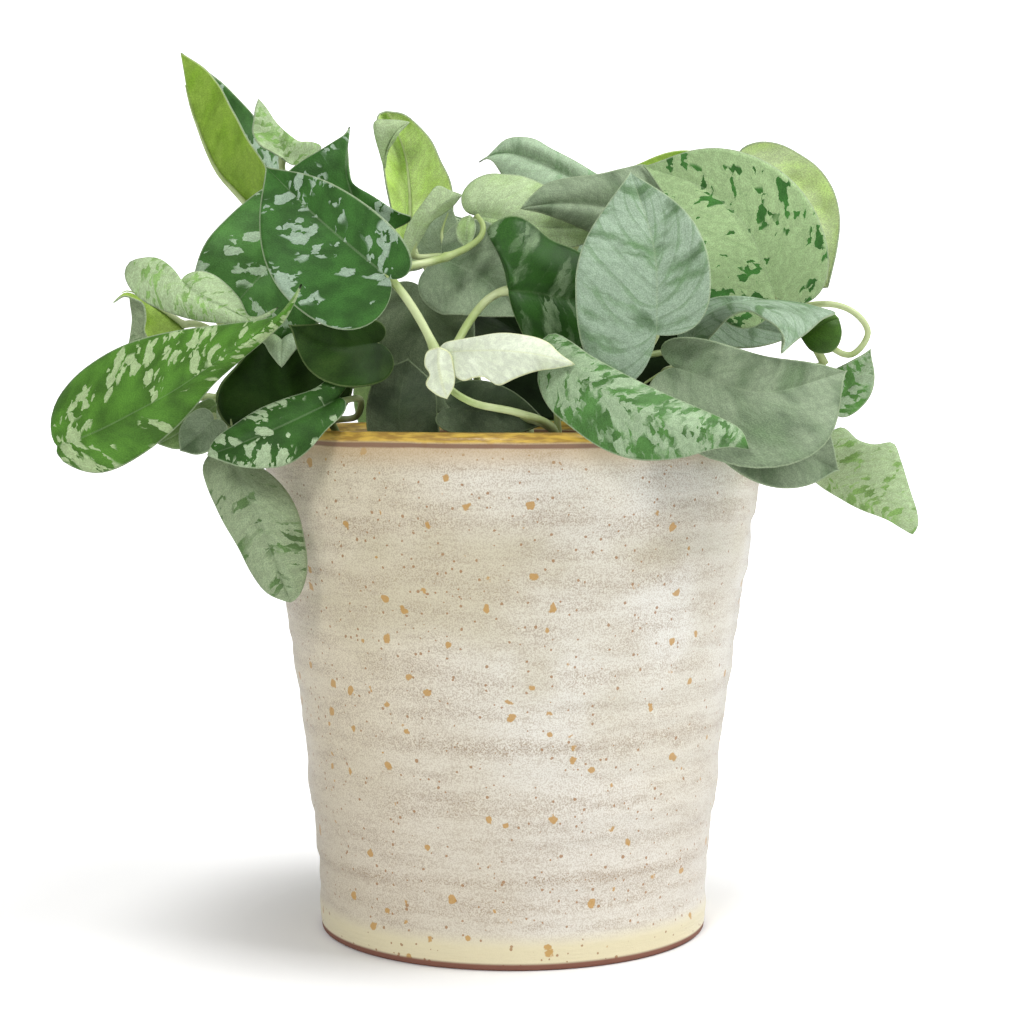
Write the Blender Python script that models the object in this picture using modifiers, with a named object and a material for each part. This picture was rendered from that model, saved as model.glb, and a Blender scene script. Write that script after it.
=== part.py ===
"""Satin pothos (Scindapsus pictus) in a wheel-thrown pot: glazed pot, soil, vines and leaves.

Metres, +Z up, origin on the ground at the pot's axis, the front of the plant towards -Y.
The plant's own points are (x, z, depth) in millimetres: x and z as they show from the front
on the plane through the pot's axis, and depth as the distance behind that plane.
"""
import math

import bmesh
import bpy
from mathutils import Vector

MM = 0.001
CLEARANCE = 0.3 * MM

# The front view that the plant is laid out in
EYE_DISTANCE = 712 * MM
EYE_HEIGHT = 177 * MM

# Pot
POT_HEIGHT = 160
POT_RIM_RADIUS = 80
POT_FOOT_RADIUS = 61.5
POT_WALL = 5
POT_FLOOR = 8
POT_STEPS = 40
# The lip from outside in: drop below the top and inset from the rim's radius
POT_LIP = [(3, 0), (0.6, 1), (0, 2.5), (0.8, 4)]
# Height and radius of the throwing rings' crests and valleys, from the foot up
POT_RINGS = [
    (2, 61.7), (4, 61.9), (8, 62.3), (12, 61.9), (17, 62.4), (22, 62.5), (26, 63.4), (30, 63.6),
    (36, 64.0), (41, 65.2), (47, 66.2), (55, 66.2), (64, 67.4), (69, 68.1), (75, 68.9), (85, 70.7),
    (90, 71.1), (97, 72.4), (103, 73.2), (109, 74.0), (117, 75.8), (123, 76.7), (129, 76.6),
    (134, 78.2), (138, 78.8), (145, 79.5), (154, 79.8),
]

# Soil
SOIL_TOP = 149
SOIL_EDGE = 146
SOIL_SHOULDER = 8
HOLE_RADIUS = 2.1
HOLE_DEPTH = 10
HOLE_SIDES = 8

# Stems
VINE_RADIUS = 1.4
PETIOLE_RADIUS = 1.0
VINE_STEPS = 8
PETIOLE_STEPS = 5
CURVE_STEPS = 8

# Leaf blades
BLADE_THICKNESS = 0.7
RIB_STEPS = 24
BIG_LEAF_WIDTH = 30
BIG_LEAF_LENGTH = 49 * MM
BIG_LEAF_GRID = (9, 6)
SMALL_LEAF_GRID = (8, 4)
# Steps along a measured margin, and the width of a half from which its belly is whole
MARGIN_STEPS = 48
BELLY_WIDTH = 10 * MM
# Share of a half's edge that goes round its lobe, and how far that edge is pulled behind the sinus
LOBE_SHARE = 0.45
LOBE_PULL = 1.4
CORNER_PULL = 0.04
# Share of the length from which the edge runs in to the tip
TIP_REACH = 0.84
# Share of the rows' spacing along the midrib that is even; the rest narrows towards the sinus
EVEN_ROWS = 0.15
# Direction in which a petiole meets its blade: shares along the midrib and along the upper side
PETIOLE_ARRIVES = (0.6, 0.8)
# Distance past the sinus at which a petiole ends under its blade
PETIOLE_INSET = 1.2

# Each vine's way above the soil, as (x, z, depth); it starts straight up out of its hole
VINES = {
    "vine_front": [(17, 149, -50), (12, 160, -66), (1, 164.5, -77), (-14, 168, -80), (-22, 174, -80),
                   (-25, 184, -78)],
    "vine_left": [(-36, 149, -24), (-44, 173, -24), (-58, 199, -20), (-72, 225, -14)],
    "vine_left_low": [(-54, 149, -8), (-60, 163, -16), (-72, 175, -24), (-88, 175, -32), (-98, 167, -42)],
    "vine_middle": [(-8, 149, -12), (-12, 177, -14), (-22, 203, -16), (-19, 216, -18)],
    "vine_right": [(22, 149, -18), (34, 177, -28), (52, 199, -24), (66, 221, -14)],
    "vine_right_low": [(50, 149, -6), (62, 164, -14), (80, 175, -16), (101, 180, -13)],
    "vine_back_left": [(-24, 149, 28), (-36, 177, 40), (-52, 199, 50)],
    "vine_back": [(6, 149, 34), (4, 181, 44), (0, 209, 50)],
    "vine_back_right": [(34, 149, 24), (46, 175, 36), (60, 195, 44)],
}

# The blades: midrib from sinus to tip, upper side's direction, and the vine and share of it that the
# petiole grows from. A blade has the widths of its left and right halves with the fold and cup of each
# in degrees, or its left and right margins between sinus and tip with each half's belly in millimetres
LEAVES = [
    dict(name="leaf_left_1", up=(9, -2, 4), belly=(0, -2), vine="vine_left", at=1.0, look="lime",
         rib=[(-82.5, 229.5, -7), (-88.5, 236, -8), (-94.5, 242.5, -9), (-98.5, 250, -10),
              (-101.5, 257.5, -11), (-104, 264.5, -12), (-107.5, 281, -13)],
         left=[(-74, 231.5, -14), (-77, 239, -19), (-80.5, 245.5, -21), (-87, 253.5, -21), (-91, 262, -19),
               (-94.5, 270, -17), (-100.5, 276, -15)],
         right=[(-72.5, 230.5, 6), (-71.5, 237, 12), (-74.5, 242.5, 14), (-78.5, 254, 13),
                (-84, 261.5, 10), (-92.5, 269, 2), (-101.5, 276.5, -8)]),
    dict(name="leaf_left_2", up=(3, -9, 2), belly=(0, 0), vine="vine_left", at=0.96, look="silver",
         rib=[(-74, 246, -28), (-75, 251, -29), (-78, 257.5, -31), (-82.5, 266, -33)],
         left=[(-75, 247, -30), (-78.5, 249, -32), (-82, 251, -34), (-84, 255, -35), (-84, 259, -35),
               (-83.5, 263, -34)],
         right=[(-71, 244.5, -27), (-66.5, 246, -25), (-62, 250.5, -24), (-65, 252, -25), (-69, 252, -26),
                (-73, 254.5, -27), (-77, 258.5, -29), (-80, 263, -31)]),
    dict(name="leaf_left_3", up=(0, -9, 3), belly=(1.5, 1), vine="vine_left", at=0.8, look="dark",
         rib=[(-47.5, 225.5, -34), (-51.5, 233.5, -35), (-54, 243.5, -35), (-53, 257, -33)],
         left=[(-52, 220.5, -32), (-61, 219.5, -31), (-69, 224, -31), (-73.5, 231.5, -31),
               (-74, 240.5, -32), (-69, 245.5, -33), (-62.5, 249.5, -34), (-57.5, 252.5, -34),
               (-54.5, 254.5, -34)],
         right=[(-42, 223, -33), (-36, 225, -32), (-32.5, 227.5, -33), (-37.5, 229.5, -35),
                (-45.5, 234.5, -36), (-52, 238.5, -36), (-53, 242.5, -35), (-53.5, 248, -34),
                (-54, 252.5, -33)]),
    dict(name="leaf_left_4", rib=[(-40, 208, -70), (-62, 226.5, -70), (-80.5, 244.5, -60)], up=(0, -10, 0),
         halves=(24, 13), fold=(6, 20), lobe=(0.1, 0.07), vine="vine_front", at=1.0, look="dark"),
    dict(name="leaf_left_5", up=(-1, -9, 2), belly=(2.5, 2.5), vine="vine_left", at=0.55, look="dark",
         rib=[(-62, 226, -44), (-72.5, 218.5, -48), (-82.5, 208, -49), (-88.5, 201, -48),
              (-92.5, 194, -46)],
         left=[(-55.5, 220.5, -42), (-53.5, 210.5, -43), (-55, 201.5, -46), (-60.5, 195.5, -46),
               (-70.5, 189.5, -45), (-79.5, 187.5, -44), (-86.5, 188.5, -44), (-90, 191, -45)],
         right=[(-64, 233.5, -43), (-71.5, 238.5, -44), (-80.5, 237.5, -46), (-87.5, 232.5, -48),
                (-94, 226, -49), (-99.5, 219.5, -51), (-102.5, 213, -51), (-103.5, 207.5, -50),
                (-101, 201.5, -49), (-97, 197, -48)], arrive=(-0.3, 0.95),
         through=[(-50, 205, -33), (-54, 217, -40)]),
    dict(name="leaf_left_6", up=(0, -9, 1), belly=(1.5, 2), vine="vine_left_low", at=0.75, look="silver",
         arrive=(-0.5, 0.85),
         rib=[(-107.5, 207, -66), (-101.5, 202, -69), (-93.5, 198.5, -70), (-85, 195, -68),
              (-76, 198.5, -63)],
         left=[(-105.5, 209, -65), (-101.5, 210, -65), (-97, 209, -65), (-92.5, 205.5, -65),
               (-88.5, 201, -65), (-85.5, 195.5, -66), (-81, 195.5, -65)],
         right=[(-110, 210.5, -64), (-114.5, 214, -62), (-119, 214.5, -61), (-124, 213, -60),
                (-125.5, 209.5, -60), (-124, 205, -61), (-119.5, 200.5, -63), (-113, 197.5, -65),
                (-103, 194.5, -68), (-93.5, 193.5, -70), (-83.5, 194, -68), (-79.5, 195.5, -65)]),
    dict(name="leaf_left_7", up=(0, -9, 2), belly=(2, 2), vine="vine_left_low", at=0.95, look="dark",
         rib=[(-147.5, 153.5, -74), (-135.5, 158, -80), (-122.5, 164.5, -85), (-109.5, 171.5, -88),
              (-96.5, 180.5, -89), (-85, 188, -88), (-76, 195.5, -86), (-71.5, 201, -84),
              (-68.5, 206, -82)],
         left=[(-149, 157, -72), (-149, 162.5, -71), (-147, 169, -71), (-142, 176, -72), (-134, 182, -73),
               (-123.5, 187, -75), (-113, 190, -77), (-101.5, 192, -79), (-88.5, 193.5, -81),
               (-80, 194.5, -83), (-74.5, 196.5, -84), (-71, 201.5, -84)],
         right=[(-147, 150, -73), (-142, 146.5, -73), (-135.5, 145, -74), (-128, 146.5, -76),
                (-119, 151.5, -78), (-110, 159, -80), (-103.5, 166, -82), (-97, 173.5, -83),
                (-88.5, 181, -84), (-80.5, 188, -84), (-74, 194.5, -84), (-70.5, 201, -83)]),
    dict(name="leaf_left_8", up=(0, -9, 4), belly=(1.5, 1), vine="vine_left_low", at=0.25, look="dark",
         rib=[(-57.5, 168.5, -60), (-67.5, 163.5, -66), (-80.5, 157.5, -71), (-91.5, 153, -71),
              (-99, 150.5, -69)],
         left=[(-55.5, 169, -60), (-54, 167, -62), (-55, 164, -64), (-60.5, 158.5, -67), (-66.5, 152, -70),
               (-73.5, 147.5, -72), (-80.5, 146, -73), (-87, 146.5, -73), (-93.5, 148.5, -71)],
         right=[(-55.5, 171, -59), (-53, 175, -58), (-53, 179, -58), (-57.5, 177.5, -59),
                (-64, 172.5, -61), (-74, 168.5, -63), (-84, 164.5, -65), (-91.5, 159.5, -67),
                (-97, 155, -68)],
         through=[(-51, 163, -30), (-50, 169, -48)]),
    dict(name="leaf_left_9", up=(0, -9, 3), up_tip=(0, 3, -9), belly=(-4, -4), vine="vine_left_low",
         at=0.35, look="silver",
         rib=[(-72.5, 166, -43), (-73.5, 172.5, -43), (-75, 180, -44), (-75, 186, -47), (-75, 187.5, -51),
              (-75, 184.5, -55), (-75, 179, -57)],
         left=[(-80, 158, -44), (-91.5, 159.5, -45), (-96, 166, -46), (-95, 173, -47), (-89, 180, -47),
               (-84, 185.5, -48), (-81, 187, -51), (-78.5, 183.5, -54)],
         right=[(-64.5, 159, -43), (-55.5, 164.5, -42), (-52, 172.5, -43), (-54, 179.5, -44),
                (-59.5, 184.5, -45), (-65, 186.5, -47), (-68.5, 187, -51), (-72, 183, -54)],
         arrive=(0.1, 1.0)),
    dict(name="leaf_left_10", up=(0, 1, -9), belly=(0, 0), vine="vine_left_low", at=0.72, look="lime",
         rib=[(-106.5, 191, -34), (-113, 196, -35), (-118.5, 199.5, -36), (-122, 202, -37),
              (-125.5, 203, -39), (-129.5, 200, -42)],
         left=[(-110.5, 184.5, -30), (-117.5, 182, -30), (-124, 184.5, -31), (-124, 189.5, -32),
               (-123.5, 195, -33), (-124, 199.5, -35), (-124.5, 202, -37), (-126.5, 202.5, -40)],
         right=[(-108, 186, -39), (-113, 184, -41), (-117.5, 185.5, -42), (-120, 189.5, -42),
                (-119, 195, -41), (-120, 199.5, -40), (-123, 201, -40), (-126, 202, -41)]),
    dict(name="leaf_left_11", up=(-3, -9, 0), belly=(1.5, 2), vine="vine_left_low", at=0.9, look="silver",
         rib=[(-93, 151, -52), (-88.5, 142, -57), (-83.5, 131, -60), (-78, 118, -61), (-72, 103, -59)],
         left=[(-97, 151.5, -53), (-100, 147, -54), (-99, 140.5, -56), (-95, 132, -58), (-89.5, 122, -60),
               (-85, 112.5, -60), (-79.5, 106, -60), (-74, 103.5, -59)],
         right=[(-88.5, 149.5, -51), (-81.5, 146.5, -52), (-75.5, 141.5, -53), (-70.5, 133.5, -55),
                (-67.5, 124.5, -56), (-66.5, 116, -57), (-68, 108, -58), (-70, 104.5, -59)]),
    dict(name="leaf_left_12", rib=[(-44, 187, -50), (-58, 186, -60), (-73, 193, -60)], up=(0, -9, 1),
         halves=(13, 8), fold=10, lobe=0.12, vine="vine_left", at=0.35, arrive=(0.2, 1.0), look="dark"),
    dict(name="leaf_left_13", rib=[(-97, 162, -58), (-102, 157, -61), (-108, 152, -61)], up=(0, -9, 2),
         halves=(6.5, 6.5), fold=10, lobe=0.1, shoulder=0.5, apex=0.7, vine="vine_left_low", at=1.0,
         look="silver"),
    dict(name="leaf_middle_1", rib=[(-30, 205, -22), (-27, 185, -28), (-16, 159, -34)], up=(-1, -9, 2),
         halves=(16, 15), fold=10, lobe=0.06, vine="vine_middle", at=0.7, look="silver"),
    dict(name="leaf_middle_2", rib=[(-35, 151, -43), (-37, 165, -46), (-34, 182, -45)], up=(0, -9, -1),
         halves=(10, 12), fold=10, lobe=0.1, shoulder=0.5, apex=0.9, vine="vine_middle", at=0.12,
         look="silver"),
    dict(name="leaf_middle_3", rib=[(-20, 166, -56), (-6, 164, -62), (12, 161, -60)], up=(0, -9, 4),
         halves=(10, 9), fold=10, lobe=0.12, vine="vine_front", at=0.3, look="silver"),
    dict(name="leaf_middle_4", rib=[(58, 183, 8), (44, 175, 6), (30, 165, 4)], up=(0, 9, 2),
         halves=(14, 14), fold=10, lobe=0.12, vine="vine_right", at=0.4, look="dark"),
    dict(name="leaf_right_1", up=(0, 9, 2), belly=(2, 3), vine="vine_middle", at=0.5, look="lime",
         rib=[(-34, 218.5, 3), (-33.5, 226, 6), (-33.5, 236.5, 9), (-35, 248, 9), (-38, 256.5, 7),
              (-41, 262, 4)],
         left=[(-27, 217.5, 5), (-20.5, 224, 3), (-19.5, 234, 1), (-20.5, 240, 2), (-23.5, 246, 3),
               (-26.5, 252.5, 4), (-31, 257.5, 5), (-35.5, 261, 5)],
         right=[(-38, 223, 2), (-39.5, 230.5, 1), (-41, 237.5, 0), (-42, 244.5, 0), (-43.5, 252.5, 1),
                (-44, 258.5, 2), (-43.5, 261, 3)],
         through=[(-23, 203, 0)]),
    dict(name="leaf_right_2", up=(-3, -9, 2), belly=(0.5, 0.5), vine="vine_middle", at=0.97, look="silver",
         rib=[(-34, 215, -33), (-31, 223, -35), (-25.5, 230, -36), (-20.5, 233.5, -36), (-16.5, 235, -35)],
         left=[(-35.5, 218.5, -33), (-34.5, 223.5, -34), (-32, 228.5, -35), (-27.5, 234.5, -36),
               (-24.5, 238, -36), (-20.5, 236.5, -36)],
         right=[(-32.5, 216, -32), (-29.5, 221.5, -33), (-26, 226.5, -34), (-22, 229.5, -34),
                (-19, 232, -34)]),
    dict(name="leaf_right_3", rib=[(-18, 213, -8), (-23, 221, -8), (-20, 232, -8)], up=(0, 9, 1),
         halves=(9, 9), fold=10, lobe=0.1, vine="vine_middle", at=0.8, look="silver"),
    dict(name="leaf_right_4", up=(-3, -9, 0), belly=(3, 2), vine="vine_front", at=0.9, look="dark",
         rib=[(-1.5, 204, -70), (5.5, 203.5, -68), (13.5, 202, -65), (23.5, 201, -60), (32, 201, -55)],
         left=[(-2.5, 210, -69), (-4.5, 216, -68), (-7, 220.5, -67), (-8.5, 223.5, -66), (-6, 226, -65),
               (-1.5, 228, -64), (2.5, 227.5, -63), (6.5, 225, -62), (12, 220.5, -60), (20, 217, -57),
               (28, 210.5, -55)],
         right=[(0, 197.5, -70), (2, 192, -69), (5, 186.5, -68), (10.5, 183.5, -66), (18.5, 184.5, -63),
                (26.5, 189.5, -59)]),
    dict(name="leaf_right_5", rib=[(46.5, 189.5, -74), (46, 216, -76), (38, 243, -62)], up=(0, -9, 1),
         halves=(24, 15.5), fold=8, lobe=(0.28, 0.0), vine="vine_right", at=0.35, look="silver"),
    dict(name="leaf_right_6", rib=[(85, 202, -24), (76, 224, -32), (62, 237, -32), (42, 244.5, -28)],
         up=(0.5, -9, 1), halves=(22, 21), fold=8, lobe=0.1, vine="vine_right_low", at=1.0, look="silver",
         through=[(93, 197.5, -15), (103, 199.5, -16), (111, 196.5, -17), (115, 190, -14), (109, 183, -13)]),
    dict(name="leaf_right_7", up=(0, -9, 1), belly=(3, 3), vine="vine_right", at=0.8, look="silver",
         rib=[(46, 225, -26), (34.5, 230, -31), (23.5, 232, -35), (12, 232, -39), (2.5, 230.5, -42)],
         left=[(43.5, 217, -26), (34, 217.5, -29), (25, 223, -33), (15, 227, -37), (8, 229.5, -40)],
         right=[(51.5, 231.5, -24), (50, 239, -24), (43.5, 244.5, -26), (36, 243.5, -29),
                (27.5, 241.5, -32), (18.5, 240.5, -35), (11, 238.5, -38), (6, 234.5, -40)]),
    dict(name="leaf_right_8", rib=[(74, 235, 12), (56, 242.5, 12), (37.5, 244, 8)], up=(0, 9, 1),
         halves=(8, 10), fold=10, lobe=0.1, vine="vine_back_right", at=1.0, look="lime"),
    dict(name="leaf_right_9", up=(0, -9, 3), belly=(0.5, 1), vine="vine_front", at=0.95, look="lime",
         rib=[(-24.5, 183.5, -84), (-15.5, 184.5, -88), (-2.5, 184.5, -92), (9.5, 183, -90),
              (20, 180, -85)],
         left=[(-22.5, 186.5, -84), (-17, 188, -86), (-9, 189, -88), (-0.5, 190, -90), (7, 189, -89),
               (11.5, 187, -88), (15, 183.5, -87)],
         right=[(-22.5, 180, -84), (-19, 176.5, -85), (-15.5, 174.5, -86), (-12.5, 175.5, -88),
                (-9.5, 176, -89), (-7, 174.5, -88), (-5, 173.5, -88), (0.5, 175.5, -89), (8, 178, -88),
                (14.5, 179, -86)]),
    dict(name="leaf_right_10", up=(2, 9, 2), belly=(3, 3), vine="vine_right", at=1.0, look="lime",
         rib=[(75, 241, -6), (88, 237, -1), (97, 226, 0), (100.5, 215, -3), (102, 205, -7)],
         left=[(74, 234.5, -7), (80.5, 223, -5), (88, 213, -4), (95, 207, -5), (99.5, 205, -6)],
         right=[(72.5, 245.5, -6), (74, 249.5, -6), (79.5, 252, -6), (86, 251.5, -5), (93, 248, -4),
                (99, 243.5, -3), (103.5, 237, -3), (105.5, 230.5, -3), (106, 225, -4), (105, 217.5, -5),
                (103.5, 211, -6)]),
    dict(name="leaf_right_11", up=(0, -9, 4), belly=(1.5, 2), vine="vine_right", at=0.9, look="silver",
         rib=[(29.5, 236, 6), (18.5, 241, 6), (8.5, 245.5, 5), (-1, 248.5, 4), (-7.5, 247.5, 3),
              (-11, 245.5, 2)],
         left=[(26.5, 229.5, 4), (15, 230.5, 3), (5, 234.5, 2), (-2.5, 240, 2), (-5, 243.5, 2),
               (-7, 246, 2), (-9, 246.5, 2)],
         right=[(34, 240, 7), (30, 240.5, 7), (21.5, 245, 7), (12.5, 250, 6), (7.5, 253, 5),
                (2.5, 253.5, 4), (-2.5, 252.5, 4), (-6, 249.5, 3), (-8.5, 247, 2)]),
    dict(name="leaf_right_12", up=(0, -9, 1), belly=(2, 1), vine="vine_middle", at=1.0, look="silver",
         rib=[(-12.5, 228.5, -22), (-2.5, 226.5, -25), (8.5, 224.5, -26), (20, 224.5, -25),
              (28, 224, -24)],
         left=[(-15, 229.5, -21), (-16.5, 232.5, -20), (-16, 236, -19), (-13, 239.5, -18),
               (-8, 241.5, -18), (-3, 241.5, -18), (3, 241, -19), (9.5, 238.5, -20), (19, 232.5, -22)],
         right=[(-10.5, 226, -22), (-7, 223, -23), (-1, 221, -24), (7, 218.5, -25), (16, 217.5, -25),
                (23.5, 219.5, -24)]),
    dict(name="leaf_right_13", up=(0, -3, 9), belly=(2, 1), vine="vine_right_low", at=0.7, look="silver",
         rib=[(57.5, 185.5, -40), (59.5, 192.5, -42), (66, 198, -46), (74, 200, -52), (82.5, 197.5, -60),
              (87, 192, -68), (87, 183.5, -73)],
         left=[(54.5, 186.5, -38), (53, 190.5, -37), (55.5, 195, -35), (60.5, 200, -38), (67.5, 202, -39),
               (77, 202, -39), (88, 200, -38), (98, 198, -38), (104.5, 196.5, -41), (100, 194, -50),
               (93, 189, -64)],
         right=[(58.5, 182.5, -42), (61, 184, -45), (63.5, 188.5, -49), (67.5, 192.5, -53),
                (72.5, 196, -58), (77.5, 197.5, -63), (81.5, 195.5, -67), (85.5, 192, -70),
                (88, 187.5, -72)]),
    dict(name="leaf_right_14", rib=[(60, 197, 0), (74, 193, -2), (92, 189, -2)], up=(0, -9, 2),
         halves=(9, 9), fold=10, lobe=0.1, vine="vine_right", at=0.6, look="silver"),
    dict(name="leaf_right_15", rib=[(52.5, 179, -64), (80, 171, -65), (108.5, 178, -46)], up=(1, -9, 1),
         halves=(11.5, 23.5), fold=(8, 12), lobe=0.1, widest=(0.28, 0.36), vine="vine_right_low", at=0.2,
         look="dark"),
    dict(name="leaf_right_16", rib=[(72, 165, -54), (90, 154, -54), (106, 145.5, -46)], up=(0, -9, 1),
         halves=(16, 16), fold=10, lobe=0.12, vine="vine_right_low", at=0.4, look="dark"),
    dict(name="leaf_right_17", up=(0, -9, 3), belly=(1, 1), vine="vine_front", at=0.2, look="dark",
         rib=[(13, 181.5, -78), (25, 173.5, -88), (41, 165, -94), (57.5, 159, -92), (69.5, 155.5, -84),
              (76.5, 152.5, -78)],
         left=[(10, 184, -76), (9.5, 187.5, -75), (13, 190, -76), (18, 188, -78), (25, 183, -82),
               (34.5, 177.5, -85), (46, 172, -87), (57.5, 167, -86), (67.5, 162, -82), (74, 158, -79)],
         right=[(9.5, 180, -76), (8, 176.5, -76), (9, 171.5, -78), (12.5, 165, -82), (20, 158.5, -88),
                (29.5, 152.5, -91), (41, 149, -91), (53.5, 149.5, -89), (64, 152.5, -85),
                (71.5, 153.5, -80)]),
    dict(name="leaf_right_18", rib=[(104, 167, -12), (111, 175, -12), (116, 185, -14)], up=(1, -9, 1),
         halves=(8, 7), fold=10, lobe=0.1, vine="vine_right_low", at=0.9, look="silver"),
    dict(name="leaf_right_19", up=(2, -9, 2), belly=(2, 0), vine="vine_right_low", at=0.8, look="silver",
         rib=[(97, 148.5, -10), (106.5, 140.5, -12), (119, 132.5, -13), (129.5, 125, -14)],
         left=[(100, 155, -11), (106.5, 159.5, -12), (112, 155.5, -14), (117.5, 154, -16),
               (123, 154.5, -17), (125.5, 149, -17), (128.5, 140.5, -16), (131, 132, -15),
               (131, 127.5, -14)],
         right=[(95.5, 145, -9), (98.5, 141.5, -9), (107.5, 135.5, -10), (120.5, 130, -12),
                (126, 127, -13)]),
    dict(name="leaf_right_20", rib=[(-22, 214, -32), (-10, 208, -37), (4, 195, -44)], up=(0, -9, 2),
         halves=(16, 17), fold=10, lobe=0.12, vine="vine_middle", at=0.9, look="silver"),
    dict(name="leaf_back_1", rib=[(-60, 211, 48), (-80, 209, 62), (-94, 189, 70)], up=(-4, 6, 9),
         halves=(20, 20), fold=12, lobe=0.15, vine="vine_back_left", at=1.0, look="dark"),
    dict(name="leaf_back_2", rib=[(-42, 211, 60), (-50, 215, 84), (-54, 199, 108)], up=(-2, 5, 9),
         halves=(19, 19), fold=12, lobe=0.15, vine="vine_back_left", at=0.9, look="silver"),
    dict(name="leaf_back_3", rib=[(-8, 219, 56), (-10, 225, 80), (-12, 211, 104)], up=(0, 5, 9),
         halves=(21, 21), fold=12, lobe=0.15, vine="vine_back", at=1.0, look="dark"),
    dict(name="leaf_back_4", rib=[(34, 213, 50), (40, 219, 74), (42, 205, 100)], up=(1, 5, 9),
         halves=(19, 19), fold=12, lobe=0.15, vine="vine_back_right", at=0.9, look="silver"),
    dict(name="leaf_back_5", rib=[(62, 202, 50), (80, 204, 60), (94, 189, 68)], up=(4, 5, 9),
         halves=(20, 20), fold=12, lobe=0.12, vine="vine_back_right", at=1.0, look="dark"),
    dict(name="leaf_back_6", rib=[(-68, 173, 50), (-84, 167, 62), (-92, 145, 68)], up=(-5, 6, 5),
         halves=(17, 17), fold=12, lobe=0.12, vine="vine_back_left", at=0.5, look="silver"),
    dict(name="leaf_back_7", rib=[(-30, 175, 78), (-36, 169, 100), (-40, 141, 110)], up=(-2, 8, 5),
         halves=(19, 19), fold=12, lobe=0.12, vine="vine_back", at=0.6, look="dark"),
    dict(name="leaf_back_8", rib=[(16, 177, 76), (20, 171, 100), (22, 145, 112)], up=(1, 8, 5),
         halves=(20, 20), fold=12, lobe=0.12, vine="vine_back", at=0.5, look="dark"),
    dict(name="leaf_back_9", rib=[(58, 173, 60), (72, 167, 80), (82, 141, 86)], up=(4, 8, 5),
         halves=(19, 19), fold=12, lobe=0.12, vine="vine_back_right", at=0.5, look="silver"),
    dict(name="leaf_back_10", rib=[(-58, 221, 20), (-64, 233, 34), (-68, 229, 52)], up=(-2, 3, 9),
         halves=(17, 17), fold=12, lobe=0.15, vine="vine_left", at=0.7, look="silver"),
    dict(name="leaf_back_11", rib=[(20, 221, 20), (24, 231, 36), (26, 225, 56)], up=(1, 3, 9),
         halves=(18, 18), fold=12, lobe=0.15, vine="vine_back", at=0.9, look="dark"),
    dict(name="leaf_back_12", rib=[(18, 175, 16), (2, 190, 14), (-20, 203, 8)], up=(-2, -9, 4),
         halves=(20, 20), fold=10, lobe=0.15, vine="vine_back", at=0.3, look="dark"),
]

# Colour and roughness of each look
LOOKS = {
    "dark": ((0.05, 0.16, 0.05), 0.45),
    "silver": ((0.32, 0.46, 0.34), 0.5),
    "lime": ((0.30, 0.48, 0.10), 0.45),
}


def seen(x, z, depth):
    """Point at a depth behind the axis plane that shows at (x, z) on that plane from the front."""
    reach = 1 + depth * MM / EYE_DISTANCE
    return Vector((x * MM * reach, depth * MM, EYE_HEIGHT + (z * MM - EYE_HEIGHT) * reach))


def smooth_curve(points, steps):
    """Points spread evenly along a smooth curve through the given ones."""
    knots = [0.0]
    for a, b in zip(points, points[1:]):
        knots.append(knots[-1] + (b - a).length ** 0.5)
    fine = []
    for i in range(len(points) - 1):
        before = points[i - 1] if i > 0 else points[i] * 2 - points[i + 1]
        after = points[i + 2] if i + 2 < len(points) else points[i + 1] * 2 - points[i]
        gap = knots[i + 1] - knots[i]
        gap_before = knots[i] - knots[i - 1] if i > 0 else gap
        gap_after = knots[i + 2] - knots[i + 1] if i + 2 < len(points) else gap
        start, end = points[i], points[i + 1]
        chord = (end - start) / gap
        leave = ((start - before) / gap_before * gap + chord * gap_before) / (gap + gap_before)
        arrive = (chord * gap_after + (after - end) / gap_after * gap) / (gap + gap_after)
        for j in range(CURVE_STEPS):
            t = j / CURVE_STEPS
            fine.append(start * (1 + 2 * t) * (1 - t) ** 2 + leave * gap * t * (1 - t) ** 2
                        + end * t * t * (3 - 2 * t) + arrive * gap * t * t * (t - 1))
    fine.append(points[-1])
    lengths = [0.0]
    for a, b in zip(fine, fine[1:]):
        lengths.append(lengths[-1] + (b - a).length)
    even = []
    for i in range(steps + 1):
        want = lengths[-1] * i / steps
        j = 0
        while j < len(fine) - 2 and lengths[j + 1] < want:
            j += 1
        share = (want - lengths[j]) / (lengths[j + 1] - lengths[j])
        even.append(fine[j].lerp(fine[j + 1], share))
    return even


class Rib:
    """A leaf's midrib: a smooth curve read by its share of the length."""

    def __init__(self, points):
        self.points = smooth_curve(points, RIB_STEPS)
        self.length = sum((b - a).length for a, b in zip(self.points, self.points[1:]))

    def tangent(self, t):
        i = min(max(round(t * RIB_STEPS), 0), RIB_STEPS)
        low, high = max(i - 2, 0), min(i + 2, RIB_STEPS)
        return (self.points[high] - self.points[low]).normalized()

    def point(self, t):
        """Point at a share t, straight on before the base and past the tip."""
        inside = min(max(t, 0.0), 1.0)
        i = min(int(inside * RIB_STEPS), RIB_STEPS - 1)
        on_rib = self.points[i].lerp(self.points[i + 1], inside * RIB_STEPS - i)
        return on_rib + self.tangent(inside) * (t - inside) * self.length


def both(value):
    """A form value for the (left, right) halves of a blade."""
    return value if isinstance(value, tuple) else (value, value)


def bezier(a, b, c, d, t):
    """Point in the plane at a share t of a cubic curve."""
    s = 1 - t
    return tuple(s**3 * a[i] + 3 * s * s * t * b[i] + 3 * s * t * t * c[i] + t**3 * d[i] for i in (0, 1))


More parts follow.
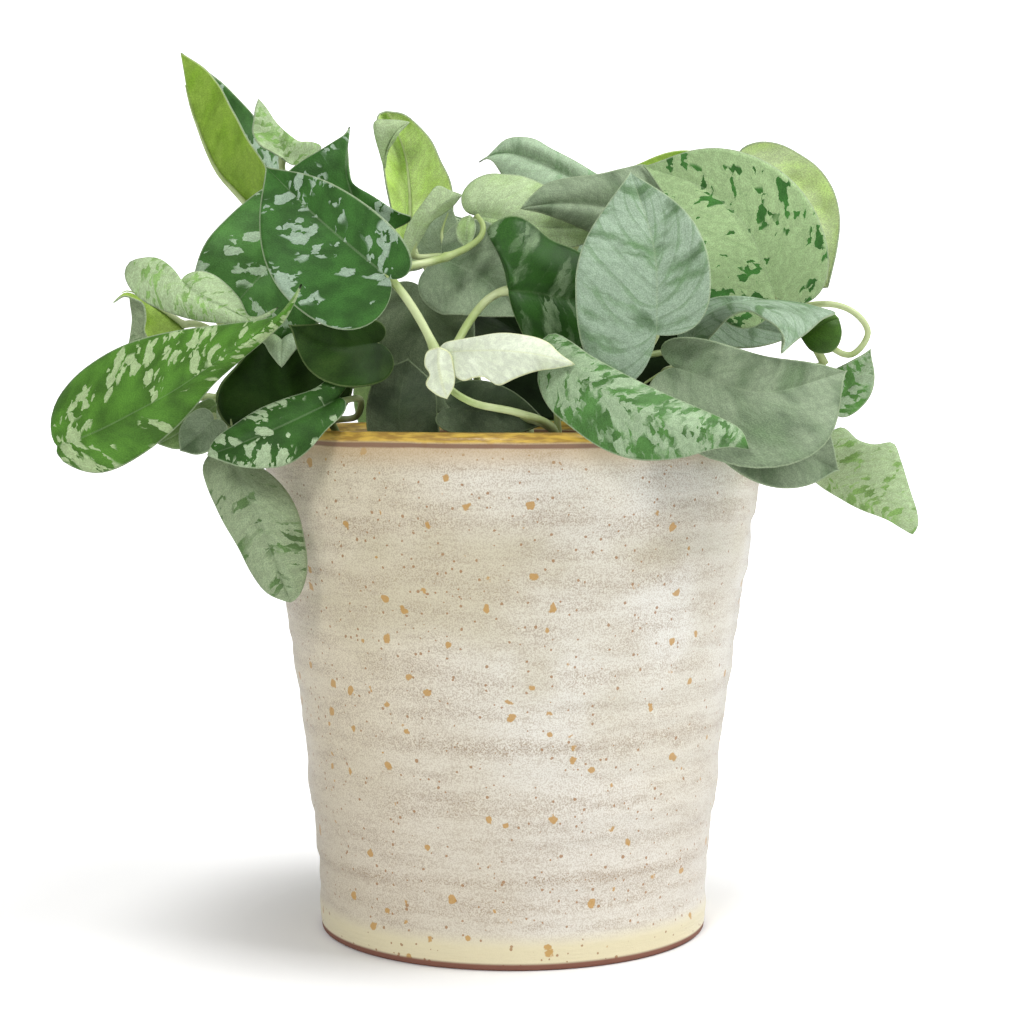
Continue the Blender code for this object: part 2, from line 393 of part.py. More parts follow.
def blade_edge(leaf, side, u, length):
    """(across, along) on one half of the flat blade's edge: sinus at u = 0, round the lobe, tip at u = 1."""
    half = both(leaf["halves"])[side] * MM
    lobe = both(leaf.get("lobe", 0.15))[side]
    inner = both(leaf.get("inner", 0.15))[side]
    widest = both(leaf.get("widest", 0.28))[side]
    shoulder = both(leaf.get("shoulder", 0.34))[side]
    corner = (half, widest * length)
    if u < LOBE_SHARE:
        back = -LOBE_PULL * lobe * length
        behind = (half, back - CORNER_PULL * length)
        return bezier((0, 0), (inner * half, back), behind, corner, u / LOBE_SHARE)
    t = (u - LOBE_SHARE) / (1 - LOBE_SHARE)
    apex = both(leaf.get("apex", 0.3))[side] * half
    ahead = (half, (widest + shoulder) * length)
    return bezier(corner, ahead, (apex, TIP_REACH * length), (0, length), t)


def bend(start, turn, reach):
    """(sideways, upwards) of a strip that leaves at an angle and turns evenly by turn for each unit."""
    if turn == 0:
        return reach * math.cos(start), reach * math.sin(start)
    end = start + turn * reach
    return (math.sin(end) - math.sin(start)) / turn, (math.cos(start) - math.cos(end)) / turn


def blade_frame(leaf, rib, t):
    """Rib point, direction towards the right half and direction of the upper side at a share t."""
    inside = min(max(t, 0.0), 1.0)
    tangent = rib.tangent(inside)
    up = Vector(leaf["up"]).normalized().lerp(Vector(leaf.get("up_tip", leaf["up"])).normalized(), inside)
    up = (up - tangent * up.dot(tangent)).normalized()
    return rib.point(t), tangent.cross(up), up


def blade_point(leaf, rib, across, along):
    """Bends the point (across, along) of the flat blade onto its midrib, in metres."""
    origin, right, up = blade_frame(leaf, rib, along / rib.length)
    side = 1 if across >= 0 else 0
    half = both(leaf["halves"])[side] * MM
    fold = math.radians(both(leaf.get("fold", 10))[side])
    cup = math.radians(both(leaf.get("cup", 0))[side])
    sideways, upwards = bend(fold, cup, abs(across) / half)
    return origin + right * (2 * side - 1) * half * sideways + up * half * upwards


def margins(leaf, rib):
    """The measured left and right margins from sinus to tip, or None where the blade has widths."""
    if "left" not in leaf:
        return None
    ends = rib.points[0], rib.points[-1]
    return [smooth_curve([ends[0]] + [seen(*point) for point in leaf[side]] + [ends[1]], MARGIN_STEPS)
            for side in ("left", "right")]


def measured_point(leaf, rib, margin, belly, u, rib_share, s):
    """Point at a share s of the way from the midrib to a measured margin at its share u."""
    i = min(int(u * MARGIN_STEPS), MARGIN_STEPS - 1)
    edge = margin[i].lerp(margin[i + 1], u * MARGIN_STEPS - i)
    origin, right, up = blade_frame(leaf, rib, rib_share)
    bulge = belly * min((edge - origin).length / BELLY_WIDTH, 1)
    return origin.lerp(edge, s) + up * bulge * MM * 4 * s * (1 - s)


def blade_grid(leaf, rib, rows, columns):
    """The blade as an open grid of faces, closed at the sinus and at the tip."""
    grid = bmesh.new()
    bmesh.ops.create_grid(grid, x_segments=columns, y_segments=rows, size=1.0)
    measured = margins(leaf, rib)
    for vertex in grid.verts:
        u = (vertex.co.y + 1) / 2
        s = vertex.co.x
        side = 1 if s >= 0 else 0
        rib_share = EVEN_ROWS * u + (1 - EVEN_ROWS) * u * u
        if measured:
            vertex.co = measured_point(leaf, rib, measured[side], leaf["belly"][side], u, rib_share, abs(s))
            continue
        edge_across, edge_along = blade_edge(leaf, side, u, rib.length)
        rib_along = rib.length * rib_share
        vertex.co = blade_point(leaf, rib, edge_across * s, rib_along + (edge_along - rib_along) * abs(s))
    bmesh.ops.remove_doubles(grid, verts=grid.verts, dist=0.01 * MM)
    bmesh.ops.triangulate(grid, faces=grid.faces)
    return grid


def make_material(name, color, roughness):
    material = bpy.data.materials.new(name)
    material.use_nodes = True
    shader = material.node_tree.nodes["Principled BSDF"]
    shader.inputs["Base Color"].default_value = (*color, 1)
    shader.inputs["Roughness"].default_value = roughness
    return material


def add_object(name, mesh, collection, material):
    thing = bpy.data.objects.new(name, mesh)
    collection.objects.link(thing)
    mesh.materials.append(material)
    return thing


def turned_solid(name, profile, steps, collection, material):
    """A closed profile of (radius, height) from axis to axis, turned about Z."""
    mesh = bpy.data.meshes.new(name)
    outline = bmesh.new()
    corners = [outline.verts.new((radius * MM, 0, height * MM)) for radius, height in profile]
    for a, b in zip(corners, corners[1:]):
        outline.edges.new((a, b))
    outline.to_mesh(mesh)
    outline.free()
    thing = add_object(name, mesh, collection, material)
    screw = thing.modifiers.new("turn", "SCREW")
    screw.steps = steps
    screw.render_steps = steps
    screw.use_merge_vertices = True
    screw.merge_threshold = 0.01 * MM
    screw.use_normal_calculate = True
    return thing


def pot_inside(height, gap=0.0):
    """Inner radius of the pot's wall at a height, less a gap, both in millimetres."""
    low = POT_FOOT_RADIUS - POT_WALL
    high = POT_RIM_RADIUS - POT_WALL
    return low + (high - low) * height / POT_HEIGHT - gap


def make_pot(collection):
    outer = [(radius, height) for height, radius in POT_RINGS]
    lip = [(POT_RIM_RADIUS - inset, POT_HEIGHT - drop) for drop, inset in POT_LIP]
    lip_foot = POT_HEIGHT - POT_LIP[0][0]
    inside = [(pot_inside(lip_foot), lip_foot), (pot_inside(POT_FLOOR), POT_FLOOR), (0, POT_FLOOR)]
    profile = [(0, 0), (POT_FOOT_RADIUS, 0)] + outer + lip + inside
    glaze = make_material("pot_glaze", (0.62, 0.57, 0.50), 0.3)
    return turned_solid("pot", profile, POT_STEPS, collection, glaze)


def make_soil(collection, cutters):
    """Soil that fills the pot, with a plain hole where each vine stands."""
    gap = CLEARANCE / MM
    low = POT_FLOOR + gap
    profile = [(0, low), (pot_inside(low, gap), low), (pot_inside(SOIL_EDGE, gap), SOIL_EDGE),
               (pot_inside(SOIL_EDGE, SOIL_SHOULDER), SOIL_TOP - 1), (0, SOIL_TOP)]
    peat = make_material("soil_dark", (0.05, 0.035, 0.025), 0.95)
    soil = turned_solid("soil", profile, POT_STEPS, collection, peat)
    for name, points in VINES.items():
        x, z, depth = points[0]
        foot = seen(x, z, depth)
        bpy.ops.mesh.primitive_cylinder_add(
            vertices=HOLE_SIDES, radius=HOLE_RADIUS * MM, depth=2 * HOLE_DEPTH * MM,
            location=(foot.x, foot.y, SOIL_TOP * MM))
        hole = bpy.context.object
        hole.name = "hole_" + name
        keep_as_cutter(hole, cutters)
        cut = soil.modifiers.new(hole.name, "BOOLEAN")
        cut.operation = "DIFFERENCE"
        cut.solver = "EXACT"
        cut.object = hole
    return soil


def keep_as_cutter(thing, cutters):
    for collection in list(thing.users_collection):
        collection.objects.unlink(thing)
    cutters.objects.link(thing)
    thing.hide_render = True
    thing.display_type = "WIRE"


def make_tube(name, points, radius):
    """A mesh tube with capped ends along the points."""
    curve = bpy.data.curves.new(name, "CURVE")
    curve.dimensions = "3D"
    curve.bevel_depth = radius * MM
    curve.bevel_resolution = 1
    curve.use_fill_caps = True
    spline = curve.splines.new("POLY")
    spline.points.add(len(points) - 1)
    for knot, point in zip(spline.points, points):
        knot.co = (*point, 1)
    thing = bpy.data.objects.new(name, curve)
    bpy.context.scene.collection.objects.link(thing)
    evaluated = thing.evaluated_get(bpy.context.evaluated_depsgraph_get())
    mesh = bpy.data.meshes.new_from_object(evaluated)
    bpy.data.objects.remove(thing)
    weld = bmesh.new()
    weld.from_mesh(mesh)
    bmesh.ops.remove_doubles(weld, verts=weld.verts, dist=0.01 * MM)
    weld.to_mesh(mesh)
    weld.free()
    return mesh


def petiole_points(leaf, rib, vine):
    """From inside the vine to just short of the blade's base, which it meets from below."""
    base, right, up = blade_frame(leaf, rib, 0.0)
    tangent = rib.tangent(0.0)
    place = leaf["at"] * (len(vine) - 1)
    i = min(int(place), len(vine) - 2)
    start = vine[i].lerp(vine[i + 1], place - i)
    onward, upward = leaf.get("arrive", PETIOLE_ARRIVES)
    arrive = (tangent * onward + up * upward).normalized()
    end = base + tangent * PETIOLE_INSET * MM - up * (BLADE_THICKNESS / 2 * MM + CLEARANCE)
    end -= arrive * PETIOLE_RADIUS * MM
    through = [seen(*point) for point in leaf.get("through", [])]
    if through:
        return smooth_curve([start] + through + [end], PETIOLE_STEPS * len(through))
    span = (end - start).length
    leave = start + (Vector((0, 0, 0.5)) + (end - start).normalized()).normalized() * span * 0.3
    approach = end - arrive * span * 0.35
    points = []
    for j in range(PETIOLE_STEPS + 1):
        t = j / PETIOLE_STEPS
        s = 1 - t
        points.append(start * s**3 + leave * 3 * s * s * t + approach * 3 * s * t * t + end * t**3)
    return points


def make_leaf(leaf, rib, collection, material):
    big = rib.length > BIG_LEAF_LENGTH if "left" in leaf else sum(both(leaf["halves"])) > BIG_LEAF_WIDTH
    size = BIG_LEAF_GRID if big else SMALL_LEAF_GRID
    grid = blade_grid(leaf, rib, *size)
    mesh = bpy.data.meshes.new(leaf["name"])
    grid.to_mesh(mesh)
    grid.free()
    thing = add_object(leaf["name"], mesh, collection, material)
    shell = thing.modifiers.new("blade thickness", "SOLIDIFY")
    shell.thickness = BLADE_THICKNESS * MM
    shell.offset = 0
    return thing


def vine_path(points):
    """The stem's line from inside its hole, straight up to the soil's top and on."""
    x, z, depth = points[0]
    top = seen(x, z, depth)
    top.z = (SOIL_TOP + 1) * MM
    foot = Vector((top.x, top.y, (SOIL_TOP - HOLE_DEPTH + 0.5) * MM))
    return [foot] + smooth_curve([top] + [seen(*point) for point in points[1:]], VINE_STEPS)


def make_vine(name, path, petioles, collection, cutters, material):
    """One stem and the petioles of its leaves, joined into one solid."""
    stem = add_object(name, make_tube(name, path, VINE_RADIUS), collection, material)
    for petiole_name, points in petioles:
        tube = make_tube(petiole_name, points, PETIOLE_RADIUS)
        petiole = add_object(petiole_name, tube, collection, material)
        keep_as_cutter(petiole, cutters)
        join = stem.modifiers.new(petiole_name, "BOOLEAN")
        join.operation = "UNION"
        join.solver = "EXACT"
        join.object = petiole
    return stem


def main():
    for old in list(bpy.data.objects):
        bpy.data.objects.remove(old)
    parts = bpy.data.collections.new("satin_pothos")
    cutters = bpy.data.collections.new("cutters")
    bpy.context.scene.collection.children.link(parts)
    bpy.context.scene.collection.children.link(cutters)
    make_pot(parts)
    make_soil(parts, cutters)
    looks = {name: make_material("leaf_" + name, *look) for name, look in LOOKS.items()}
    green = make_material("vine_green", (0.30, 0.38, 0.12), 0.5)
    ribs = {leaf["name"]: Rib([seen(*point) for point in leaf["rib"]]) for leaf in LEAVES}
    for name, way in VINES.items():
        path = vine_path(way)
        petioles = []
        for leaf in LEAVES:
            if leaf["vine"] == name:
                points = petiole_points(leaf, ribs[leaf["name"]], path)
                petioles.append((leaf["name"].replace("leaf", "petiole"), points))
        make_vine(name, path, petioles, parts, cutters, green)
    for leaf in LEAVES:
        make_leaf(leaf, ribs[leaf["name"]], parts, looks[leaf["look"]])


if __name__ == "__main__":
    main()
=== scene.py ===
"""Satin pothos (Scindapsus pictus) in its glazed pot, dressed with fine blades, stems, soil and glaze.

Metres, +Z up, the pot's foot on the origin, the front of the plant towards -Y.
The plant's points are (x, z, depth) in millimetres: x and z as they show from the front on the
plane through the pot's axis, and depth as the distance behind that plane.
"""
import math
import random

import bmesh
import bpy
from mathutils import Matrix, Vector, noise


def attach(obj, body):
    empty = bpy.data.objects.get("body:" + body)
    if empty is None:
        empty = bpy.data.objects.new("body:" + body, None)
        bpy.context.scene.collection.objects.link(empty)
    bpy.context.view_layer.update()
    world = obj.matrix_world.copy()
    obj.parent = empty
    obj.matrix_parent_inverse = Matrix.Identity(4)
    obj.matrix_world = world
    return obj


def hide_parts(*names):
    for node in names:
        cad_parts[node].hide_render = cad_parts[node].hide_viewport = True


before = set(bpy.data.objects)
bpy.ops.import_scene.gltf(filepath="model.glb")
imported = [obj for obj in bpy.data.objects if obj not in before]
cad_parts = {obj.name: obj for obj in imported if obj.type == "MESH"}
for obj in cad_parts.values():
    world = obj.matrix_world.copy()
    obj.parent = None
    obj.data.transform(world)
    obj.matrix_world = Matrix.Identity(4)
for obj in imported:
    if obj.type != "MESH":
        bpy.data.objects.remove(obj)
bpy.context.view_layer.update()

MM = 0.001
PER_CM = 100

# The front view that the plant is laid out in, and the camera's
EYE_DISTANCE = 712 * MM
EYE_HEIGHT = 177 * MM
PICTURE_SIZE = 1024
PIXELS_PER_METRE_AT_AXIS = 1000 / 0.324
AXIS_COLUMN = 513
GROUND_ROW = 920
SENSOR_WIDTH = 36.0

# Pot, in millimetres
POT_HEIGHT = 160
POT_RIM_RADIUS = 80
POT_FOOT_RADIUS = 61.5
POT_WALL = 5
POT_FLOOR = 8
POT_TURNS = 200
# Hollow under the foot and the foot's corner, as (distance past the foot's radius, height)
POT_UNDER_HEIGHT = 1.0
POT_FOOT = [(-6, POT_UNDER_HEIGHT), (-4.5, 0), (-0.8, 0), (0, 0.5), (0.1, 1.2)]
# Where the ringed wall starts, how far under the top it ends, and its steps
POT_WALL_FROM = 2
POT_WALL_DROP = 6.6
POT_WALL_STEPS = 110
POT_INSIDE_DROP = 2
POT_INSIDE_STEPS = 12
POT_TAPER = 1.05
# The lip, as (drop from the top, inset from the rim's radius)
POT_LIP = [(4.6, 0.5), (3.6, 0.1), (2.2, 0), (1, 0.4), (0.3, 1.3), (0, 2.5), (0.3, 3.7), (1.4, 4.6)]
# The throwing rings, as (height, radius)
POT_RINGS = [
    (2, 61.7), (4, 61.9), (8, 62.3), (12, 61.9), (17, 62.4), (22, 62.5), (26, 63.4), (30, 63.6),
    (36, 64.0), (41, 65.2), (47, 66.2), (55, 66.2), (64, 67.4), (69, 68.1), (75, 68.9), (85, 70.7),
    (90, 71.1), (97, 72.4), (103, 73.2), (109, 74.0), (117, 75.8), (123, 76.7), (129, 76.6),
    (134, 78.2), (138, 78.8), (145, 79.5), (154, 79.8),
]
# How far inside the foot's radius and the taper a point still lies on the outer wall
FOOT_TOLERANCE = 2
TAPER_TOLERANCE = 3.5
# Hand marks in the wall: their depth, (spread round the pot, rise with height), and fade at top and foot
DENT_DEPTH, DENT_SPREAD = 0.28, (1.3, 0.22)
LEAN_DEPTH, LEAN_SPREAD = 0.25, (1.0, 0.02)
HAND_MARKS_TOP = 1
HAND_MARKS_FADE = 6

# Glaze: height, width and depth of the dark bands of grain in the rings' hollows
GLAZE_BANDS = [
    (19, 2.5, 0.35), (26, 1.6, 1.0), (37, 2.5, 0.35), (50, 3.5, 0.3), (66.5, 2.0, 0.85), (78, 2.5, 0.3),
    (88, 3, 0.35), (105, 2, 0.45), (117, 2.5, 0.4), (133, 2.5, 0.45), (139, 1.4, 0.3), (148, 3, 0.3),
]
# The bands' drift up and down, and how they fade in and out on their way round
BAND_DRIFT, BAND_DRIFT_SPREAD = 2.5, (1.2, 0.03)
BAND_MEAN, BAND_FADE, BAND_FADE_SPREAD = 0.75, 0.5, (1.7, 0.12)
# The glaze's patterns, as (scale, detail), and how flat its streaks are
GLAZE_NOISE = dict(streak=(38.0, 5.0), lines=(150.0, 3.0), grain=(2400.0, 1.0), coarse=(420.0, 3.0),
                   cloud=(22.0, 2.0), tinge=(17.0, 3.0), gather=(16.0, 1.0))
STREAK_FLATNESS = (1.0, 1.0, 6.0)
# Heights in metres over which each zone of the glaze sets in or ends
GLAZE_ZONES = dict(foot=(0.0016, 0.0026), cream=(0.006, 0.012), grain=(0.007, 0.012), low=(0.015, 0.10),
                   olive=(0.05, 0.11), tan=(0.147, 0.1562), line_starts=(0.1558, 0.1564),
                   line_ends=(0.1572, 0.1577), rim=(0.1573, 0.1581))
# A darker, warmer tint paints shade on the pot's left side, full at the first x in metres and gone by the
# second
LEFT_SHADE_FROM, LEFT_SHADE_TO = -0.070, 0.025
RIM_WANDER = 0.0012
# The glaze's tints; the left side's tint is darker and warmer, and paints shade there
GLAZE_TINTS = dict(
    clouded=(0.77, 0.745, 0.65, 1), clear=(0.86, 0.85, 0.79, 1), left_shade=(0.72, 0.63, 0.43, 1),
    low=(0.60, 0.54, 0.45, 1), olive=(0.58, 0.53, 0.36, 1), cream=(0.74, 0.67, 0.45, 1),
    dust=(0.34, 0.235, 0.13, 1), stain=(0.43, 0.35, 0.27, 1), speck=(0.36, 0.18, 0.06, 1),
    spot=(0.52, 0.28, 0.05, 1), tan=(0.56, 0.39, 0.20, 1), line=(0.22, 0.11, 0.06, 1),
    honey=(0.74, 0.50, 0.09, 1), burnt_honey=(0.42, 0.25, 0.05, 1), clay=(0.22, 0.09, 0.06, 1),
)
GLAZE_ROUGHNESS = 0.3
CLAY_ROUGHNESS = 0.85

# Soil, in millimetres
SOIL_TOP = 149
SOIL_RADIUS = 73
SOIL_DEPTH = 12
SOIL_SHOULDER = 4
SOIL_HOLLOW = 1.5
SOIL_RINGS = 44
SOIL_TURNS = 110
# Lumps of the soil's top, as (scale, height)
SOIL_LUMPS = [(0.08, 1.6), (0.3, 1.1), (1, 0.5)]
CRUMBS = 220
CRUMB_SEED = 7
CRUMB_SIZES = (0.8, 2.6)
CRUMB_LENGTHS = (1, 1.8)
CRUMB_HEIGHTS = (0.4, 0.8)
CRUMB_ROUGHNESS = 0.35
VINE_ROOT = 9.5

# Stems, in millimetres
VINE_RADIUS = 1.4
PETIOLE_RADIUS = 1.1
VINE_STEPS = 40
PETIOLE_STEPS = 16
CURVE_STEPS = 8
TUBE_RESOLUTION = 3
# A vine's waist, the swelling of a node and its reach in steps, and the loss of radius by the vine's end
VINE_WAIST, NODE_SWELL, NODE_REACH, VINE_TAPER = 0.95, 0.22, 1.1, 0.25
# A petiole's waist, and the (reach, swelling) of its ends at the vine and at the blade
PETIOLE_WAIST = 0.92
PETIOLE_FOOT = (0.12, 0.35)
PETIOLE_HEAD = (0.1, 0.3)
# How far a petiole runs on as it leaves the vine and nears the blade, as shares of its span, and its rise
PETIOLE_LEAVES, PETIOLE_NEARS, PETIOLE_RISE = 0.3, 0.35, 0.5

# Leaf blades
BLADE_THICKNESS = 0.55
RIB_STEPS = 96
TANGENT_STEPS = 8
BLADE_ROWS = 40
BLADE_COLUMNS = 24
LOBE_SHARE = 0.45
LOBE_PULL = 1.4
CORNER_PULL = 0.04
TIP_REACH = 0.84
# Steps along a measured margin, and the width of a half from which its belly is whole
MARGIN_STEPS = 160
BELLY_WIDTH = 10 * MM
# Share of the midrib at which the measured margins' sides are told apart
SIDE_TEST = 0.3
EVEN_ROWS = 0.15
PETIOLE_ARRIVES = (0.6, 0.8)
PETIOLE_INSET = 1.2
# Share of the midrib that shows raised under the blade, its steps, taper and sizes, and how deep it lies
MIDRIB_REACH = 0.8
MIDRIB_STEPS = 14
MIDRIB_TAPER = 1.2
MIDRIB_SIZE = 0.8
MIDRIB_TIP = 0.16
MIDRIB_SINK = 0.75
# Waves of the margin, unevenness of the blade, midrib's groove and the drawn-out tip, in millimetres
WAVES = 2.3
WAVE_HEIGHT = 0.6
WAVE_SIDE_SHIFT = 0.4
WAVE_LEAF_SHIFT = 0.37
WAVE_ENDS = 5
UNEVEN_HEIGHT = 1.2
UNEVEN_SCALE = 38
UNEVEN_LENGTH = 0.05
UNEVEN_FROM_RIB = 3
RIB_DEPTH = 0.35
RIB_WIDTH = 0.9 * MM
TIP_PINCH = 0.55
TIP_PINCH_LENGTH = 2.5
EDGE_CROWDING = 0.9
VEINS_A_HALF = 9
FINE_VEINS = 4
# How far the side veins run on towards the tip for each step outwards
VEIN_SLANT = 0.45
# What moves each leaf's markings on from the last leaf's, in centimetres
MARKS_SHIFT = (7.3, 3.1)
# The markings' patterns, as (scale, detail)
MARKS_NOISE = dict(wobble=(4.5, 4.0), soft=(0.6, 5.0), cluster=(0.6, 1.0), grain=(26.0, 3.0),
                   tone=(1.4, 4.0), mottle=(5.0, 4.0))
FLECK_SCALE = 2.1
PATCH_EDGE = 0.012
# Distances in millimetres over which the midrib's line and the pale margin end
RIB_LINE = (0.2, 0.55)
PALE_MARGIN = (0.15, 0.55)

# Studio
WORLD_STRENGTH = 0.42
# What the white paper adds to its own reflected light as seen by the camera, on the floor and on the wall
FLOOR_GLOW = 0.45
WALL_GLOW = 0.9
# The floor's glow fades out towards the pot's foot, and its lack paints a shadow round the foot
# Distances from the pot's foot, in metres, between which the floor's glow sets in, and depths to the wall's
GLOW_STARTS, GLOW_FULL = 0.068, 0.145
WALL_STARTS, WALL_FULL = 0.2, 1.2
# The paper: half its width, its front and back edges, the radius and steps of its curve, and its top
PAPER_SIDE = 3
PAPER_FRONT, PAPER_BACK = -2.5, 1.5
PAPER_CURVE = 1
PAPER_STEPS = 12
PAPER_TOP = 3.5
# Each light's name, place in metres, width and height in metres, and watts; all aim at one point
STUDIO_LIGHTS = [
    ("key_softbox", (1.0, -0.25, 1.35), (0.95, 0.95), 20),
    ("front_softbox", (-0.5, -1.6, 1.1), (0.45, 0.45), 12),
]
LIGHTS_AIM = (0, 0, 0.13)

# Each vine's way above the soil, as (x, z, depth); it starts straight up out of its hole
VINES = {
    "vine_front": [(17, 149, -50), (12, 160, -66), (1, 164.5, -77), (-14, 168, -80), (-22, 174, -80),
                   (-25, 184, -78)],
    "vine_left": [(-36, 149, -24), (-44, 173, -24), (-58, 199, -20), (-72, 225, -14)],
    "vine_left_low": [(-54, 149, -8), (-60, 163, -16), (-72, 175, -24), (-88, 175, -32), (-98, 167, -42)],
    "vine_middle": [(-8, 149, -12), (-12, 177, -14), (-22, 203, -16), (-19, 216, -18)],
    "vine_right": [(22, 149, -18), (34, 177, -28), (52, 199, -24), (66, 221, -14)],
    "vine_right_low": [(50, 149, -6), (62, 164, -14), (80, 175, -16), (101, 180, -13)],
    "vine_back_left": [(-24, 149, 28), (-36, 177, 40), (-52, 199, 50)],
    "vine_back": [(6, 149, 34), (4, 181, 44), (0, 209, 50)],
    "vine_back_right": [(34, 149, 24), (46, 175, 36), (60, 195, 44)],
}

